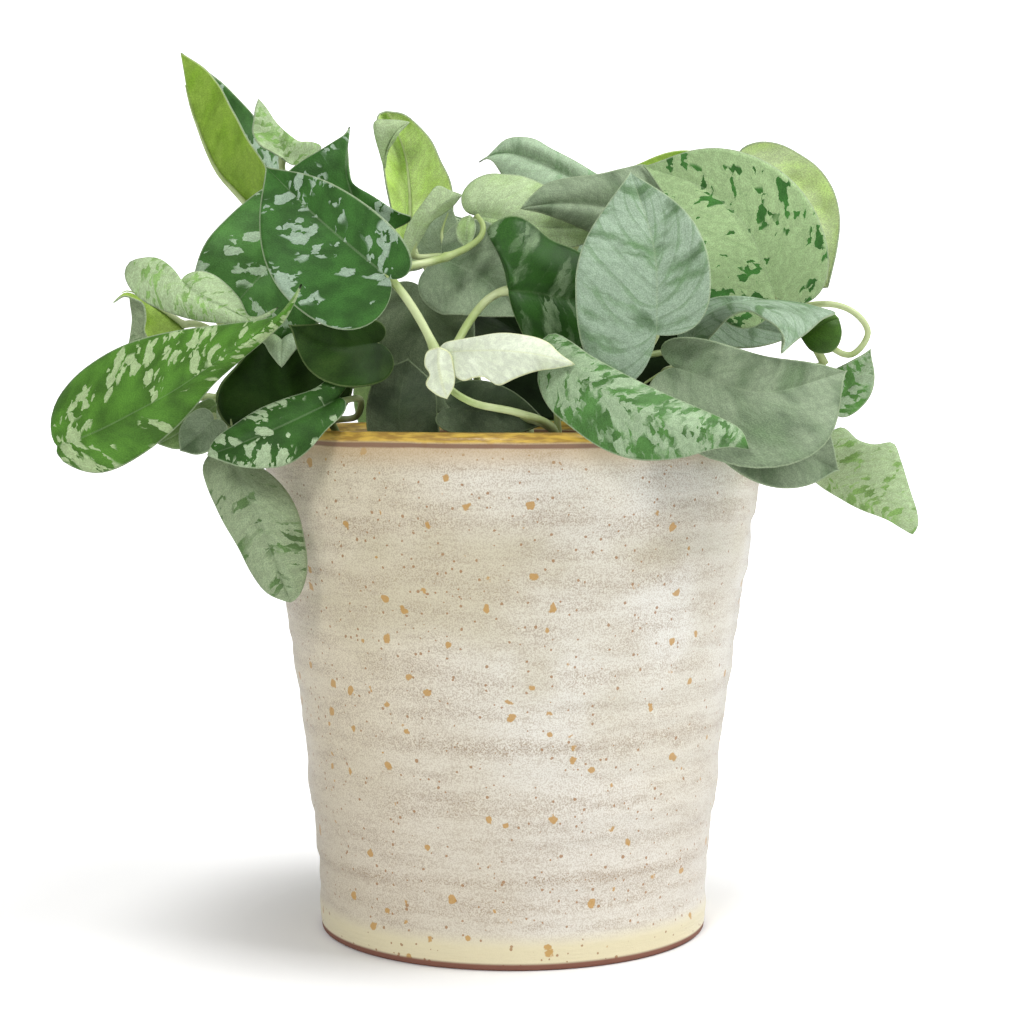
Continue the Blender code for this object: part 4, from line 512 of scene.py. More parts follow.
# What the finishes with soft clouds in place of patches share
CLOUDED = dict(amount=0.4, patches=1.5, soft=0.3, veins=0.2)
LIME = dict(CLOUDED, margin=(0.5, 0.62, 0.25), rough=0.5)
SMOOTH = dict(patches=1.2, soft=0.3, midrib=0.0)
FINISHES = {
    "dark_blotched": dict(green=(0.040, 0.13, 0.022), silver=(0.36, 0.49, 0.36), amount=0.70, midrib=0.2),
    "mid_blotched": dict(green=(0.070, 0.19, 0.040), silver=(0.40, 0.54, 0.36), amount=0.70, midrib=0.2),
    "green_banded": dict(green=(0.075, 0.195, 0.045), silver=(0.35, 0.48, 0.29), amount=0.535, patches=3.6,
                         stretch=0.6, soft=0.06, veins=0.1, midrib=0.1),
    "dark_streaked": dict(green=(0.075, 0.20, 0.022), silver=(0.42, 0.56, 0.28), amount=0.715, patches=3.8,
                          stretch=0.6, midrib=0.15),
    "dark_spotted": dict(green=(0.030, 0.095, 0.014), silver=(0.38, 0.5, 0.3), amount=0.69, patches=4.6,
                         stretch=0.7, midrib=0.15),
    "dark_silvered": dict(green=(0.020, 0.075, 0.008), silver=(0.17, 0.26, 0.13), amount=0.62,
                          patches=2.6, stretch=0.35, soft=0.1, midrib=0.1, margin=(0.2, 0.3, 0.13)),
    # The dark plain and near-black finishes paint shade on blades deep among the others
    "dark_plain_painted_shade": dict(SMOOTH, green=(0.018, 0.05, 0.006), silver=(0.05, 0.10, 0.02), amount=0.7,
                       margin=(0.12, 0.18, 0.06), gloss=0.12),
    "black_green_painted_shade": dict(SMOOTH, green=(0.010, 0.022, 0.006), silver=(0.03, 0.05, 0.015), amount=0.7,
                        margin=(0.06, 0.09, 0.03), gloss=0.1),
    "silver_streaked": dict(green=(0.10, 0.18, 0.06), silver=(0.31, 0.39, 0.23), amount=0.42, patches=3.2,
                            stretch=0.45, soft=0.05, midrib=0.2),
    "silver_patched": dict(green=(0.045, 0.17, 0.028), silver=(0.38, 0.54, 0.26), amount=0.37,
                           patches=2.6, stretch=0.8, veins=0.1, midrib=0.2),
    "silver_veined": dict(green=(0.12, 0.22, 0.10), silver=(0.34, 0.46, 0.33), amount=0.41, patches=2.6,
                          stretch=0.3, soft=0.14, veins=0.55, midrib=0.25),
    "silver_pale": dict(green=(0.22, 0.36, 0.19), silver=(0.42, 0.56, 0.37), amount=0.36, patches=3.0,
                        stretch=0.4, soft=0.12, veins=0.2, midrib=0.2),
    "silver_mottled": dict(green=(0.09, 0.24, 0.05), silver=(0.39, 0.52, 0.33), amount=0.50, patches=4.2,
                           stretch=0.6, soft=0.05, veins=0.1, midrib=0.1),
    "grey_plain": dict(CLOUDED, green=(0.11, 0.17, 0.085), silver=(0.27, 0.35, 0.22), amount=0.42,
                       midrib=0.15),
    # A dark grey finish that paints shade on the blades in the plant's middle
    "grey_painted_shade": dict(CLOUDED, green=(0.035, 0.06, 0.025), silver=(0.12, 0.16, 0.09), amount=0.5,
                      midrib=0.1, margin=(0.2, 0.26, 0.14)),
    "light_streaked": dict(green=(0.22, 0.39, 0.11), silver=(0.44, 0.58, 0.32), amount=0.44, patches=4.6,
                           stretch=0.5, soft=0.04, veins=0.2, midrib=0.2),
    "light_plain": dict(CLOUDED, green=(0.34, 0.50, 0.19), silver=(0.50, 0.64, 0.36)),
    "young": dict(CLOUDED, green=(0.70, 0.78, 0.55), silver=(0.76, 0.83, 0.65), amount=0.3, soft=0.25,
                  veins=0.15, margin=(0.7, 0.75, 0.4), grain=0.06),
    "grey_under": dict(CLOUDED, green=(0.20, 0.28, 0.14), silver=(0.32, 0.42, 0.27), veins=0.25, rough=0.55),
    "lime_under": dict(LIME, green=(0.21, 0.38, 0.02), silver=(0.36, 0.54, 0.10)),
    # These two limes are brighter than the underside's own colour: painted light shining through the blade
    "pale_lime_painted_light": dict(LIME, green=(0.62, 0.82, 0.30), silver=(0.78, 0.92, 0.55)),
    "bright_lime_painted_light": dict(LIME, green=(0.50, 0.74, 0.14), silver=(0.66, 0.86, 0.32)),
    "lime_deep": dict(LIME, green=(0.17, 0.32, 0.02), silver=(0.28, 0.45, 0.06)),
    "grey_mid": dict(CLOUDED, green=(0.10, 0.145, 0.068), silver=(0.25, 0.32, 0.19), amount=0.45,
                     veins=0.25, midrib=0.1, margin=(0.26, 0.33, 0.2)),
    "dark_smooth": dict(SMOOTH, green=(0.035, 0.10, 0.008), silver=(0.08, 0.18, 0.02), amount=0.5,
                        margin=(0.2, 0.3, 0.1)),
    "green_under": dict(CLOUDED, green=(0.11, 0.21, 0.05), silver=(0.22, 0.34, 0.12), rough=0.5),
}

# Finish of each blade's upper side and underside
SIDES = {
    "leaf_left_1": ("dark_blotched", "lime_deep"),
    "leaf_left_2": ("light_streaked", "green_under"),
    "leaf_left_3": ("dark_blotched", "green_under"),
    "leaf_left_4": ("dark_blotched", "grey_under"),
    "leaf_left_5": ("mid_blotched", "green_under"),
    "leaf_left_6": ("light_streaked", "grey_under"),
    "leaf_left_7": ("dark_streaked", "green_under"),
    "leaf_left_8": ("dark_spotted", "green_under"),
    "leaf_left_9": ("dark_plain_painted_shade", "grey_under"),
    "leaf_left_10": ("silver_streaked", "lime_under"),
    "leaf_left_11": ("silver_streaked", "green_under"),
    "leaf_left_12": ("dark_plain_painted_shade", "green_under"),
    "leaf_left_13": ("grey_plain", "green_under"),
    "leaf_middle_1": ("grey_mid", "grey_mid"),
    "leaf_middle_2": ("grey_painted_shade", "grey_painted_shade"),
    "leaf_middle_3": ("grey_painted_shade", "grey_painted_shade"),
    "leaf_middle_4": ("black_green_painted_shade", "black_green_painted_shade"),
    "leaf_right_1": ("silver_streaked", "bright_lime_painted_light"),
    "leaf_right_2": ("light_plain", "light_plain"),
    "leaf_right_3": ("grey_plain", "grey_under"),
    "leaf_right_4": ("dark_silvered", "green_under"),
    "leaf_right_5": ("silver_veined", "grey_under"),
    "leaf_right_6": ("silver_patched", "grey_under"),
    "leaf_right_7": ("grey_plain", "green_under"),
    "leaf_right_8": ("silver_streaked", "lime_deep"),
    "leaf_right_9": ("young", "young"),
    "leaf_right_10": ("silver_streaked", "pale_lime_painted_light"),
    "leaf_right_11": ("silver_pale", "grey_under"),
    "leaf_right_12": ("light_plain", "grey_under"),
    "leaf_right_13": ("silver_veined", "grey_under"),
    "leaf_right_14": ("silver_veined", "grey_under"),
    "leaf_right_15": ("grey_plain", "grey_under"),
    "leaf_right_16": ("grey_plain", "grey_under"),
    "leaf_right_17": ("green_banded", "grey_under"),
    "leaf_right_18": ("silver_mottled", "green_under"),
    "leaf_right_19": ("light_streaked", "green_under"),
    "leaf_right_20": ("grey_plain", "grey_under"),
    "leaf_back_1": ("dark_blotched", "green_under"),
    "leaf_back_2": ("silver_patched", "grey_under"),
    "leaf_back_3": ("dark_spotted", "green_under"),
    "leaf_back_4": ("silver_veined", "grey_under"),
    "leaf_back_5": ("dark_blotched", "green_under"),
    "leaf_back_6": ("silver_mottled", "grey_under"),
    "leaf_back_7": ("dark_streaked", "green_under"),
    "leaf_back_8": ("dark_blotched", "green_under"),
    "leaf_back_9": ("silver_patched", "grey_under"),
    "leaf_back_10": ("silver_veined", "grey_under"),
    "leaf_back_11": ("dark_streaked", "green_under"),
    "leaf_back_12": ("black_green_painted_shade", "green_under"),
}


def seen(x, z, depth):
    """Point at a depth behind the axis plane that shows at (x, z) on that plane from the front."""
    reach = 1 + depth * MM / EYE_DISTANCE
    return Vector((x * MM * reach, depth * MM, EYE_HEIGHT + (z * MM - EYE_HEIGHT) * reach))


def smooth_curve(points, steps):
    """Points spread evenly along a smooth curve through the given ones."""
    knots = [0.0]
    for a, b in zip(points, points[1:]):
        knots.append(knots[-1] + (b - a).length ** 0.5)
    fine = []
    for i in range(len(points) - 1):
        before = points[i - 1] if i > 0 else points[i] * 2 - points[i + 1]
        after = points[i + 2] if i + 2 < len(points) else points[i + 1] * 2 - points[i]
        gap = knots[i + 1] - knots[i]
        gap_before = knots[i] - knots[i - 1] if i > 0 else gap
        gap_after = knots[i + 2] - knots[i + 1] if i + 2 < len(points) else gap
        start, end = points[i], points[i + 1]
        chord = (end - start) / gap
        leave = ((start - before) / gap_before * gap + chord * gap_before) / (gap + gap_before)
        arrive = (chord * gap_after + (after - end) / gap_after * gap) / (gap + gap_after)
        for j in range(CURVE_STEPS):
            t = j / CURVE_STEPS
            fine.append(start * (1 + 2 * t) * (1 - t) ** 2 + leave * gap * t * (1 - t) ** 2
                        + end * t * t * (3 - 2 * t) + arrive * gap * t * t * (t - 1))
    fine.append(points[-1])
    lengths = [0.0]
    for a, b in zip(fine, fine[1:]):
        lengths.append(lengths[-1] + (b - a).length)
    even = []
    for i in range(steps + 1):
        want = lengths[-1] * i / steps
        j = 0
        while j < len(fine) - 2 and lengths[j + 1] < want:
            j += 1
        share = (want - lengths[j]) / (lengths[j + 1] - lengths[j])
        even.append(fine[j].lerp(fine[j + 1], share))
    return even


class Rib:
    """A leaf's midrib: a smooth curve read by its share of the length."""

    def __init__(self, points):
        self.points = smooth_curve(points, RIB_STEPS)
        self.length = sum((b - a).length for a, b in zip(self.points, self.points[1:]))

    def tangent(self, t):
        i = min(max(round(t * RIB_STEPS), 0), RIB_STEPS)
        low, high = max(i - TANGENT_STEPS, 0), min(i + TANGENT_STEPS, RIB_STEPS)
        return (self.points[high] - self.points[low]).normalized()

    def point(self, t):
        """Point at a share t, straight on before the base and past the tip."""
        inside = min(max(t, 0.0), 1.0)
        i = min(int(inside * RIB_STEPS), RIB_STEPS - 1)
        on_rib = self.points[i].lerp(self.points[i + 1], inside * RIB_STEPS - i)
        return on_rib + self.tangent(inside) * (t - inside) * self.length


def both(value):
    """A form value for the (left, right) halves of a blade."""
    return value if isinstance(value, tuple) else (value, value)


def bezier(a, b, c, d, t):
    """Point in the plane at a share t of a cubic curve."""
    s = 1 - t
    return tuple(s**3 * a[i] + 3 * s * s * t * b[i] + 3 * s * t * t * c[i] + t**3 * d[i] for i in (0, 1))


def blade_edge(leaf, side, u, length):
    """(across, along) on one half of the flat blade's edge: sinus at u = 0, round the lobe, tip at u = 1."""
    half = both(leaf["halves"])[side] * MM
    lobe = both(leaf.get("lobe", 0.15))[side]
    inner = both(leaf.get("inner", 0.15))[side]
    widest = both(leaf.get("widest", 0.28))[side]
    shoulder = both(leaf.get("shoulder", 0.34))[side]
    corner = (half, widest * length)
    if u < LOBE_SHARE:
        back = -LOBE_PULL * lobe * length
        behind = (half, back - CORNER_PULL * length)
        return bezier((0, 0), (inner * half, back), behind, corner, u / LOBE_SHARE)
    t = (u - LOBE_SHARE) / (1 - LOBE_SHARE)
    apex = both(leaf.get("apex", 0.3))[side] * half
    ahead = (half, (widest + shoulder) * length)
    return bezier(corner, ahead, (apex, TIP_REACH * length), (0, length), t)


def bend(start, turn, reach):
    """(sideways, upwards) of a strip that leaves at an angle and turns evenly by turn for each unit."""
    if turn == 0:
        return reach * math.cos(start), reach * math.sin(start)
    end = start + turn * reach
    return (math.sin(end) - math.sin(start)) / turn, (math.cos(start) - math.cos(end)) / turn


def blade_frame(leaf, rib, t):
    """Rib point, direction towards the right half and direction of the upper side at a share t."""
    inside = min(max(t, 0.0), 1.0)
    tangent = rib.tangent(inside)
    up = Vector(leaf["up"]).normalized().lerp(Vector(leaf.get("up_tip", leaf["up"])).normalized(), inside)
    up = (up - tangent * up.dot(tangent)).normalized()
    return rib.point(t), tangent.cross(up), up


def unevenness(leaf, side, across, down, share):
    """Lift of a blade's surface in metres: waves at the margin, the midrib's groove and soft hollows."""
    turns = WAVES * down + side * WAVE_SIDE_SHIFT + leaf["seed"] * WAVE_LEAF_SHIFT
    ripple = math.sin(2 * math.pi * turns) * WAVE_HEIGHT * share * share
    ripple *= min(down * WAVE_ENDS, (1 - down) * WAVE_ENDS, 1)
    crease = -RIB_DEPTH * math.exp(-(across / RIB_WIDTH) ** 2)
    place = Vector((across * (2 * side - 1), down * UNEVEN_LENGTH, leaf["seed"])) * UNEVEN_SCALE
    uneven = noise.noise(place) * UNEVEN_HEIGHT * min(share * UNEVEN_FROM_RIB, 1)
    return (ripple + crease + uneven) * MM


def shaped_place(leaf, rib, side, u, s):
    """A point of a blade that has widths, and (across, along, width) of its place on the flat blade."""
    edge_across, edge_along = blade_edge(leaf, side, u, rib.length)
    edge_across *= 1 - TIP_PINCH * math.exp(-(rib.length - edge_along) / (TIP_PINCH_LENGTH * MM))
    rib_along = rib.length * (EVEN_ROWS * u + (1 - EVEN_ROWS) * u * u)
    width = math.hypot(edge_across, edge_along - rib_along)
    across = edge_across * s
    along = rib_along + (edge_along - rib_along) * s
    origin, right, up = blade_frame(leaf, rib, along / rib.length)
    half = both(leaf["halves"])[side] * MM
    fold = math.radians(both(leaf.get("fold", 10))[side])
    cup = math.radians(both(leaf.get("cup", 0))[side])
    sideways, upwards = bend(fold, cup, across / half)
    lift = half * upwards + unevenness(leaf, side, across, u, across / half)
    return origin + right * (2 * side - 1) * half * sideways + up * lift, (across, along, width)


def margins(leaf, rib):
    """The measured left and right margins from sinus to tip, or None where the blade has widths."""
    if "left" not in leaf:
        return None
    ends = rib.points[0], rib.points[-1]
    return [smooth_curve([ends[0]] + [seen(*point) for point in leaf[side]] + [ends[1]], MARGIN_STEPS)
            for side in ("left", "right")]


def measured_place(leaf, rib, margin, side, u, s):
    """A point of a blade with measured margins, and (across, along, width) of its place laid flat."""
    i = min(int(u * MARGIN_STEPS), MARGIN_STEPS - 1)
    edge = margin[i].lerp(margin[i + 1], u * MARGIN_STEPS - i)
    rib_share = EVEN_ROWS * u + (1 - EVEN_ROWS) * u * u
    origin, _, up = blade_frame(leaf, rib, rib_share)
    width = (edge - origin).length
    onward = (edge - origin).dot(rib.tangent(rib_share))
    across = math.sqrt(max(width * width - onward * onward, 0))
    whole = min(width / BELLY_WIDTH, 1)
    belly = leaf["belly"][side] * whole * MM * 4 * s * (1 - s)
    lift = belly + unevenness(leaf, side, s * width, u, s) * whole
    return origin.lerp(edge, s) + up * lift, (across * s, rib_share * rib.length + onward * s, width)


def finished_mesh(name, shape, *materials):
    """The shape as a smooth mesh with its materials."""
    for face in shape.faces:
        face.smooth = True
    mesh = bpy.data.meshes.new(name)
    shape.to_mesh(mesh)
    shape.free()
    for material in materials:
        mesh.materials.append(material)
    return mesh


def blade_mesh(leaf, rib, upper, under):
    """The fine blade: its grid, and the places that its markings follow."""
    grid = bmesh.new()
    bmesh.ops.create_grid(grid, x_segments=BLADE_COLUMNS, y_segments=BLADE_ROWS, size=1.0)
    marks = grid.loops.layers.uv.new("marks")
    across_share = grid.verts.layers.float.new("across")
    down_share = grid.verts.layers.float.new("down")
    to_edge = grid.verts.layers.float.new("to_edge")
    from_rib = grid.verts.layers.float.new("from_rib")
    measured = margins(leaf, rib)
    if measured:
        middle = MARGIN_STEPS // 2
        right = blade_frame(leaf, rib, SIDE_TEST)[1]
        if (measured[1][middle] - measured[0][middle]).dot(right) < 0:
            measured.reverse()
            leaf = {**leaf, "belly": leaf["belly"][::-1]}
    flat = {}
    for vertex in grid.verts:
        u = (vertex.co.y + 1) / 2
        s = abs(vertex.co.x) ** EDGE_CROWDING
        side = 1 if vertex.co.x >= 0 else 0
        if measured:
            place, (across, along, width) = measured_place(leaf, rib, measured[side], side, u, s)
        else:
            place, (across, along, width) = shaped_place(leaf, rib, side, u, s)
        vertex[across_share] = math.copysign(s, vertex.co.x)
        vertex[down_share] = u
        vertex[to_edge] = (1 - s) * width / MM
        vertex[from_rib] = s * width / MM
        flat[vertex] = ((2 * side - 1) * across * PER_CM + leaf["seed"] * MARKS_SHIFT[0],
                        (along - VEIN_SLANT * across) * PER_CM + leaf["seed"] * MARKS_SHIFT[1])
        vertex.co = place
    for face in grid.faces:
        for loop in face.loops:
            loop[marks].uv = flat[loop.vert]
    bmesh.ops.remove_doubles(grid, verts=grid.verts, dist=0.01 * MM)
    return finished_mesh(leaf["name"] + "_blade", grid, upper, under)


def petiole_points(leaf, rib, vine):
    """From inside the vine to the underside of the blade's base, then along under the midrib."""
    base, _, up = blade_frame(leaf, rib, 0.0)
    tangent = rib.tangent(0.0)
    place = leaf["at"] * (len(vine) - 1)
    i = min(int(place), len(vine) - 2)
    start = vine[i].lerp(vine[i + 1], place - i)
    onward, upward = leaf.get("arrive", PETIOLE_ARRIVES)
    arrive = (tangent * onward + up * upward).normalized()
    end = base + tangent * PETIOLE_INSET * MM - up * (BLADE_THICKNESS / 2 + PETIOLE_RADIUS) * MM
    through = [seen(*point) for point in leaf.get("through", [])]
    if through:
        points = smooth_curve([start] + through + [end], PETIOLE_STEPS * len(through))
    else:
        span = (end - start).length
        rise = (Vector((0, 0, PETIOLE_RISE)) + (end - start).normalized()).normalized()
        leave = start + rise * span * PETIOLE_LEAVES
        approach = end - arrive * span * PETIOLE_NEARS
        points = []
        for j in range(PETIOLE_STEPS + 1):
            t = j / PETIOLE_STEPS
            s = 1 - t
            points.append(start * s**3 + leave * 3 * s * s * t + approach * 3 * s * t * t + end * t**3)
    radii = []
    thickness = THICK_PETIOLES.get(leaf["name"], PETIOLE_RADIUS)
    for j in range(len(points)):
        t = j / (len(points) - 1)
        swell = (math.exp(-(t / PETIOLE_FOOT[0]) ** 2) * PETIOLE_FOOT[1]
                 + math.exp(-((1 - t) / PETIOLE_HEAD[0]) ** 2) * PETIOLE_HEAD[1])
        radii.append(thickness * (PETIOLE_WAIST + swell))
    # A blade that twists hides its midrib, so the tube ends at its base
    steps = 1 if "up_tip" in leaf else MIDRIB_STEPS
    for j in range(1, steps + 1):
        share = j / MIDRIB_STEPS
        rib_base, _, up = blade_frame(leaf, rib, PETIOLE_INSET * MM / rib.length + share * MIDRIB_REACH)
        radius = PETIOLE_RADIUS * (1 - share) ** MIDRIB_TAPER * MIDRIB_SIZE + MIDRIB_TIP
        points.append(rib_base - up * (BLADE_THICKNESS / 2 + RIB_DEPTH + radius * MIDRIB_SINK) * MM)
        radii.append(radius)
    return points, radii


def vine_path(points):
    """The stem's line from inside its hole, straight up to the soil's top and on."""
    top = seen(*points[0])
    top.z = (SOIL_TOP + 1) * MM
    foot = Vector((top.x, top.y, (SOIL_TOP - VINE_ROOT) * MM))
    return [foot] + smooth_curve([top] + [seen(*point) for point in points[1:]], VINE_STEPS)


def add_piece(name, data, node=None):
    """An object for the data, riding on the plant's one body in place of its CAD node."""
    piece = bpy.data.objects.new(name, data)
    bpy.context.scene.collection.objects.link(piece)
    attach(piece, "root")
    if node:
        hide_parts(node)
    return piece


def add_tubes(name, tubes, material, node=None):
    """Round stems as one piece, each from its points and their radii in millimetres."""
    curve = bpy.data.curves.new(name, "CURVE")
    curve.dimensions = "3D"
    curve.bevel_depth = MM
    curve.bevel_resolution = TUBE_RESOLUTION
    curve.use_fill_caps = True
    for points, radii in tubes:
        spline = curve.splines.new("POLY")
        spline.points.add(len(points) - 1)
        for knot, point, radius in zip(spline.points, points, radii):
            knot.co = (*point, 1)
            knot.radius = radius
        spline.use_smooth = True
    curve.materials.append(material)
    add_piece(name, curve, node)


def make_vine(name, way, ribs, material):
    """One stem with its nodes and the petioles of its leaves."""
    path = vine_path(way)
    last = len(path) - 1
    leaves = [leaf for leaf in LEAVES if leaf["vine"] == name]
    radii = []
    for i in range(len(path)):
        swell = sum(math.exp(-((i - leaf["at"] * last) / NODE_REACH) ** 2) for leaf in leaves)
        taper = 1 - VINE_TAPER * i / last
        radii.append(VINE_RADIUS * (VINE_WAIST + NODE_SWELL * min(swell, 1)) * taper)
    petioles = [petiole_points(leaf, ribs[leaf["name"]], path) for leaf in leaves]
    add_tubes(name + "_stems", [(path, radii)] + petioles, material, name)


def make_side_shoot(material):
    """The pale shoot that runs to the right behind the largest dark blade, with a scarred node."""
    path = smooth_curve([seen(*point) for point in SIDE_SHOOT], VINE_STEPS)
    radii = []
    for i in range(len(path)):
        t = i / VINE_STEPS
        node = math.exp(-((t - SIDE_SHOOT_NODE) / SIDE_NODE_REACH) ** 2)
        share = SIDE_SHOOT_WAIST + SIDE_NODE_SWELL * node - SIDE_SHOOT_TAPER * t * t
        radii.append(SIDE_SHOOT_RADIUS * share)
    add_tubes("side_shoot", [(path, radii)], material)


def make_blade(leaf, rib, upper, under, node=None):
    mesh = blade_mesh(leaf, rib, upper, under)
    piece = add_piece(leaf["name"] + "_blade", mesh, node)
    shell = piece.modifiers.new("blade thickness", "SOLIDIFY")
    shell.thickness = BLADE_THICKNESS * MM
    shell.offset = 0
    shell.material_offset = 1
    shell.material_offset_rim = 0


def turned_shape(profile, turns):
    """A profile of (radius, height) from axis to axis, spun about Z, with its poles closed."""
    shape = bmesh.new()
    corners = [shape.verts.new((radius * MM, 0, height * MM)) for radius, height in profile]
    edges = [shape.edges.new(pair) for pair in zip(corners, corners[1:])]
    bmesh.ops.spin(shape, geom=corners + edges, cent=(0, 0, 0), axis=(0, 0, 1), angle=2 * math.pi,
                   steps=turns, use_merge=True)
    bmesh.ops.remove_doubles(shape, verts=shape.verts, dist=0.005 * MM)
    bmesh.ops.recalc_face_normals(shape, faces=shape.faces)
    return shape


def ring_radius(height):
    """The wall's outer radius at a height, eased between the throwing rings' crests and valleys."""
    for (low, first), (high, second) in zip(POT_RINGS, POT_RINGS[1:]):
        if height <= high:
            t = min(max((height - low) / (high - low), 0), 1)
            return first + (second - first) * t * t * (3 - 2 * t)
    return POT_RINGS[-1][1]


def on_outer_wall(radius, height):
    """Whether a place of the pot is on the outside, clear of the foot and the top."""
    taper = (POT_RIM_RADIUS - POT_FOOT_RADIUS) * (height / POT_HEIGHT) ** POT_TAPER
    return (radius > POT_FOOT_RADIUS - FOOT_TOLERANCE
            and radius > POT_FOOT_RADIUS + taper - TAPER_TOLERANCE
            and POT_WALL_FROM <= height <= POT_HEIGHT - HAND_MARKS_TOP)


def noise_round(turn, height, spread, rise):
    """Noise at a place on a cylinder, so that it runs on round the pot."""
    return noise.noise(Vector((math.cos(turn) * spread, math.sin(turn) * spread, height * rise)))


def ring_shade(height, turn):
    """How much dark grain gathers at a place on the wall, from the rings' hollows."""
    drift = noise_round(turn, height, *BAND_DRIFT_SPREAD)
    fade = BAND_MEAN + BAND_FADE * noise_round(turn, height, *BAND_FADE_SPREAD)
    return fade * sum(depth * math.exp(-((height + drift * BAND_DRIFT - level) / width) ** 2)
                      for level, width, depth in GLAZE_BANDS)


def hand_marks(height, turn):
    """Uneven thickness that the potter's hands left at a place on the wall, in metres."""
    fade = (min((height - POT_WALL_FROM) / HAND_MARKS_FADE, 1)
            * min((POT_HEIGHT - HAND_MARKS_TOP - height) / HAND_MARKS_FADE, 1))
    dents = noise_round(turn, height, *DENT_SPREAD) * DENT_DEPTH
    return (dents + noise_round(turn, height, *LEAN_SPREAD) * LEAN_DEPTH) * fade * MM


def make_pot(glaze):
    """The thrown pot: ringed wall, rolled lip, plain inside and a flat foot."""
    profile = [(0, POT_UNDER_HEIGHT)] + [(POT_FOOT_RADIUS + past, height) for past, height in POT_FOOT]
    for i in range(POT_WALL_STEPS + 1):
        height = POT_WALL_FROM + i * (POT_HEIGHT - POT_WALL_DROP - POT_WALL_FROM) / POT_WALL_STEPS
        profile.append((ring_radius(height), height))
    profile += [(POT_RIM_RADIUS - inset, POT_HEIGHT - drop) for drop, inset in POT_LIP]
    inside_top = POT_HEIGHT - POT_LIP[-1][0] - POT_INSIDE_DROP
    for i in range(POT_INSIDE_STEPS + 1):
        height = inside_top - (inside_top - POT_FLOOR) * i / POT_INSIDE_STEPS
        taper = (POT_RIM_RADIUS - POT_FOOT_RADIUS) * height / POT_HEIGHT
        profile.append((POT_FOOT_RADIUS - POT_WALL + taper, height))
    profile.append((0, POT_FLOOR))
    shape = turned_shape(profile, POT_TURNS)
    hollow = shape.verts.layers.float.new("hollow")
    for vertex in shape.verts:
        height = vertex.co.z / MM
        if not on_outer_wall(math.hypot(vertex.co.x, vertex.co.y) / MM, height):
            continue
        turn = math.atan2(vertex.co.y, vertex.co.x)
        vertex[hollow] = ring_shade(height, turn)
        push = hand_marks(height, turn)
        vertex.co.x += push * math.cos(turn)
        vertex.co.y += push * math.sin(turn)
    add_piece("thrown_pot", finished_mesh("thrown_pot", shape, glaze), "pot")


def make_soil(peat):
    """Potting soil with an uneven top."""
    profile = [(0, SOIL_TOP - SOIL_DEPTH), (SOIL_RADIUS - 1, SOIL_TOP - SOIL_DEPTH),
               (SOIL_RADIUS, SOIL_TOP - SOIL_SHOULDER)]
    profile += [(SOIL_RADIUS * (1 - i / SOIL_RINGS), SOIL_TOP - SOIL_HOLLOW)
                for i in range(1, SOIL_RINGS + 1)]
    shape = turned_shape(profile, SOIL_TURNS)
    for vertex in shape.verts:
        if vertex.co.z > (SOIL_TOP - 2 * SOIL_HOLLOW) * MM:
            place = vertex.co / MM
            vertex.co.z += sum(noise.noise(place * scale) * height for scale, height in SOIL_LUMPS) * MM
    add_piece("potting_soil", finished_mesh("potting_soil", shape, peat), "soil")


def make_crumbs(bark):
    """Crumbs and bark that lie on the soil."""
    spread = random.Random(CRUMB_SEED)
    crumbs = bmesh.new()
    for _ in range(CRUMBS):
        size = spread.uniform(*CRUMB_SIZES) * MM
        reach = math.sqrt(spread.random()) * (SOIL_RADIUS - 4) * MM
        turn = spread.uniform(0, 2 * math.pi)
        place = Vector((reach * math.cos(turn), reach * math.sin(turn), (SOIL_TOP - 0.8) * MM))
        length, height = size * spread.uniform(*CRUMB_LENGTHS), size * spread.uniform(*CRUMB_HEIGHTS)
        flat = Matrix.Diagonal((length, size, height, 1))
        matrix = Matrix.Translation(place) @ Matrix.Rotation(spread.uniform(0, math.pi), 4, "Z") @ flat
        made = bmesh.ops.create_icosphere(crumbs, subdivisions=2, radius=1, matrix=matrix)
        for vertex in made["verts"]:
            offset = vertex.co - place
            vertex.co = place + offset * (1 + CRUMB_ROUGHNESS * noise.noise(vertex.co / MM * 0.9))
    add_piece("soil_crumbs", finished_mesh("soil_crumbs", crumbs, bark))


def put(tree, kind, inputs=None, **settings):
    """A new node with its settings, and its inputs set to values or wired to other sockets."""
    made = tree.nodes.new(kind)
    for name, value in settings.items():
        setattr(made, name, value)
    for name, value in (inputs or {}).items():
        if isinstance(value, bpy.types.NodeSocket):
            tree.links.new(value, made.inputs[name])
        else:
            made.inputs[name].default_value = value
    return made


def math_node(tree, operation, a, b=0.0, c=0.0):
    return put(tree, "ShaderNodeMath", {0: a, 1: b, 2: c}, operation=operation).outputs[0]


def vector_node(tree, operation, a, b):
    return put(tree, "ShaderNodeVectorMath", {0: a, 1: b}, operation=operation).outputs[0]


def scaled_vector(tree, vector, factor):
    return put(tree, "ShaderNodeVectorMath", {0: vector, "Scale": factor}, operation="SCALE").outputs[0]


def between(tree, value, low, high, at_low=0.0, at_high=1.0):
    """A value eased from one number at low to another at high."""
    made = put(tree, "ShaderNodeMapRange", {0: value, 1: low, 2: high, 3: at_low, 4: at_high},
               interpolation_type="SMOOTHSTEP")
    return made.outputs[0]


def mix_color(tree, share, a, b):
    return put(tree, "ShaderNodeMix", {0: share, 6: a, 7: b}, data_type="RGBA").outputs[2]


def noise_value(tree, place, scale, detail):
    return put(tree, "ShaderNodeTexNoise", {"Vector": place, "Scale": scale, "Detail": detail}).outputs[0]


def object_place(tree):
    return put(tree, "ShaderNodeTexCoord").outputs["Object"]


def attribute(tree, name):
    return put(tree, "ShaderNodeAttribute", attribute_name=name).outputs["Fac"]


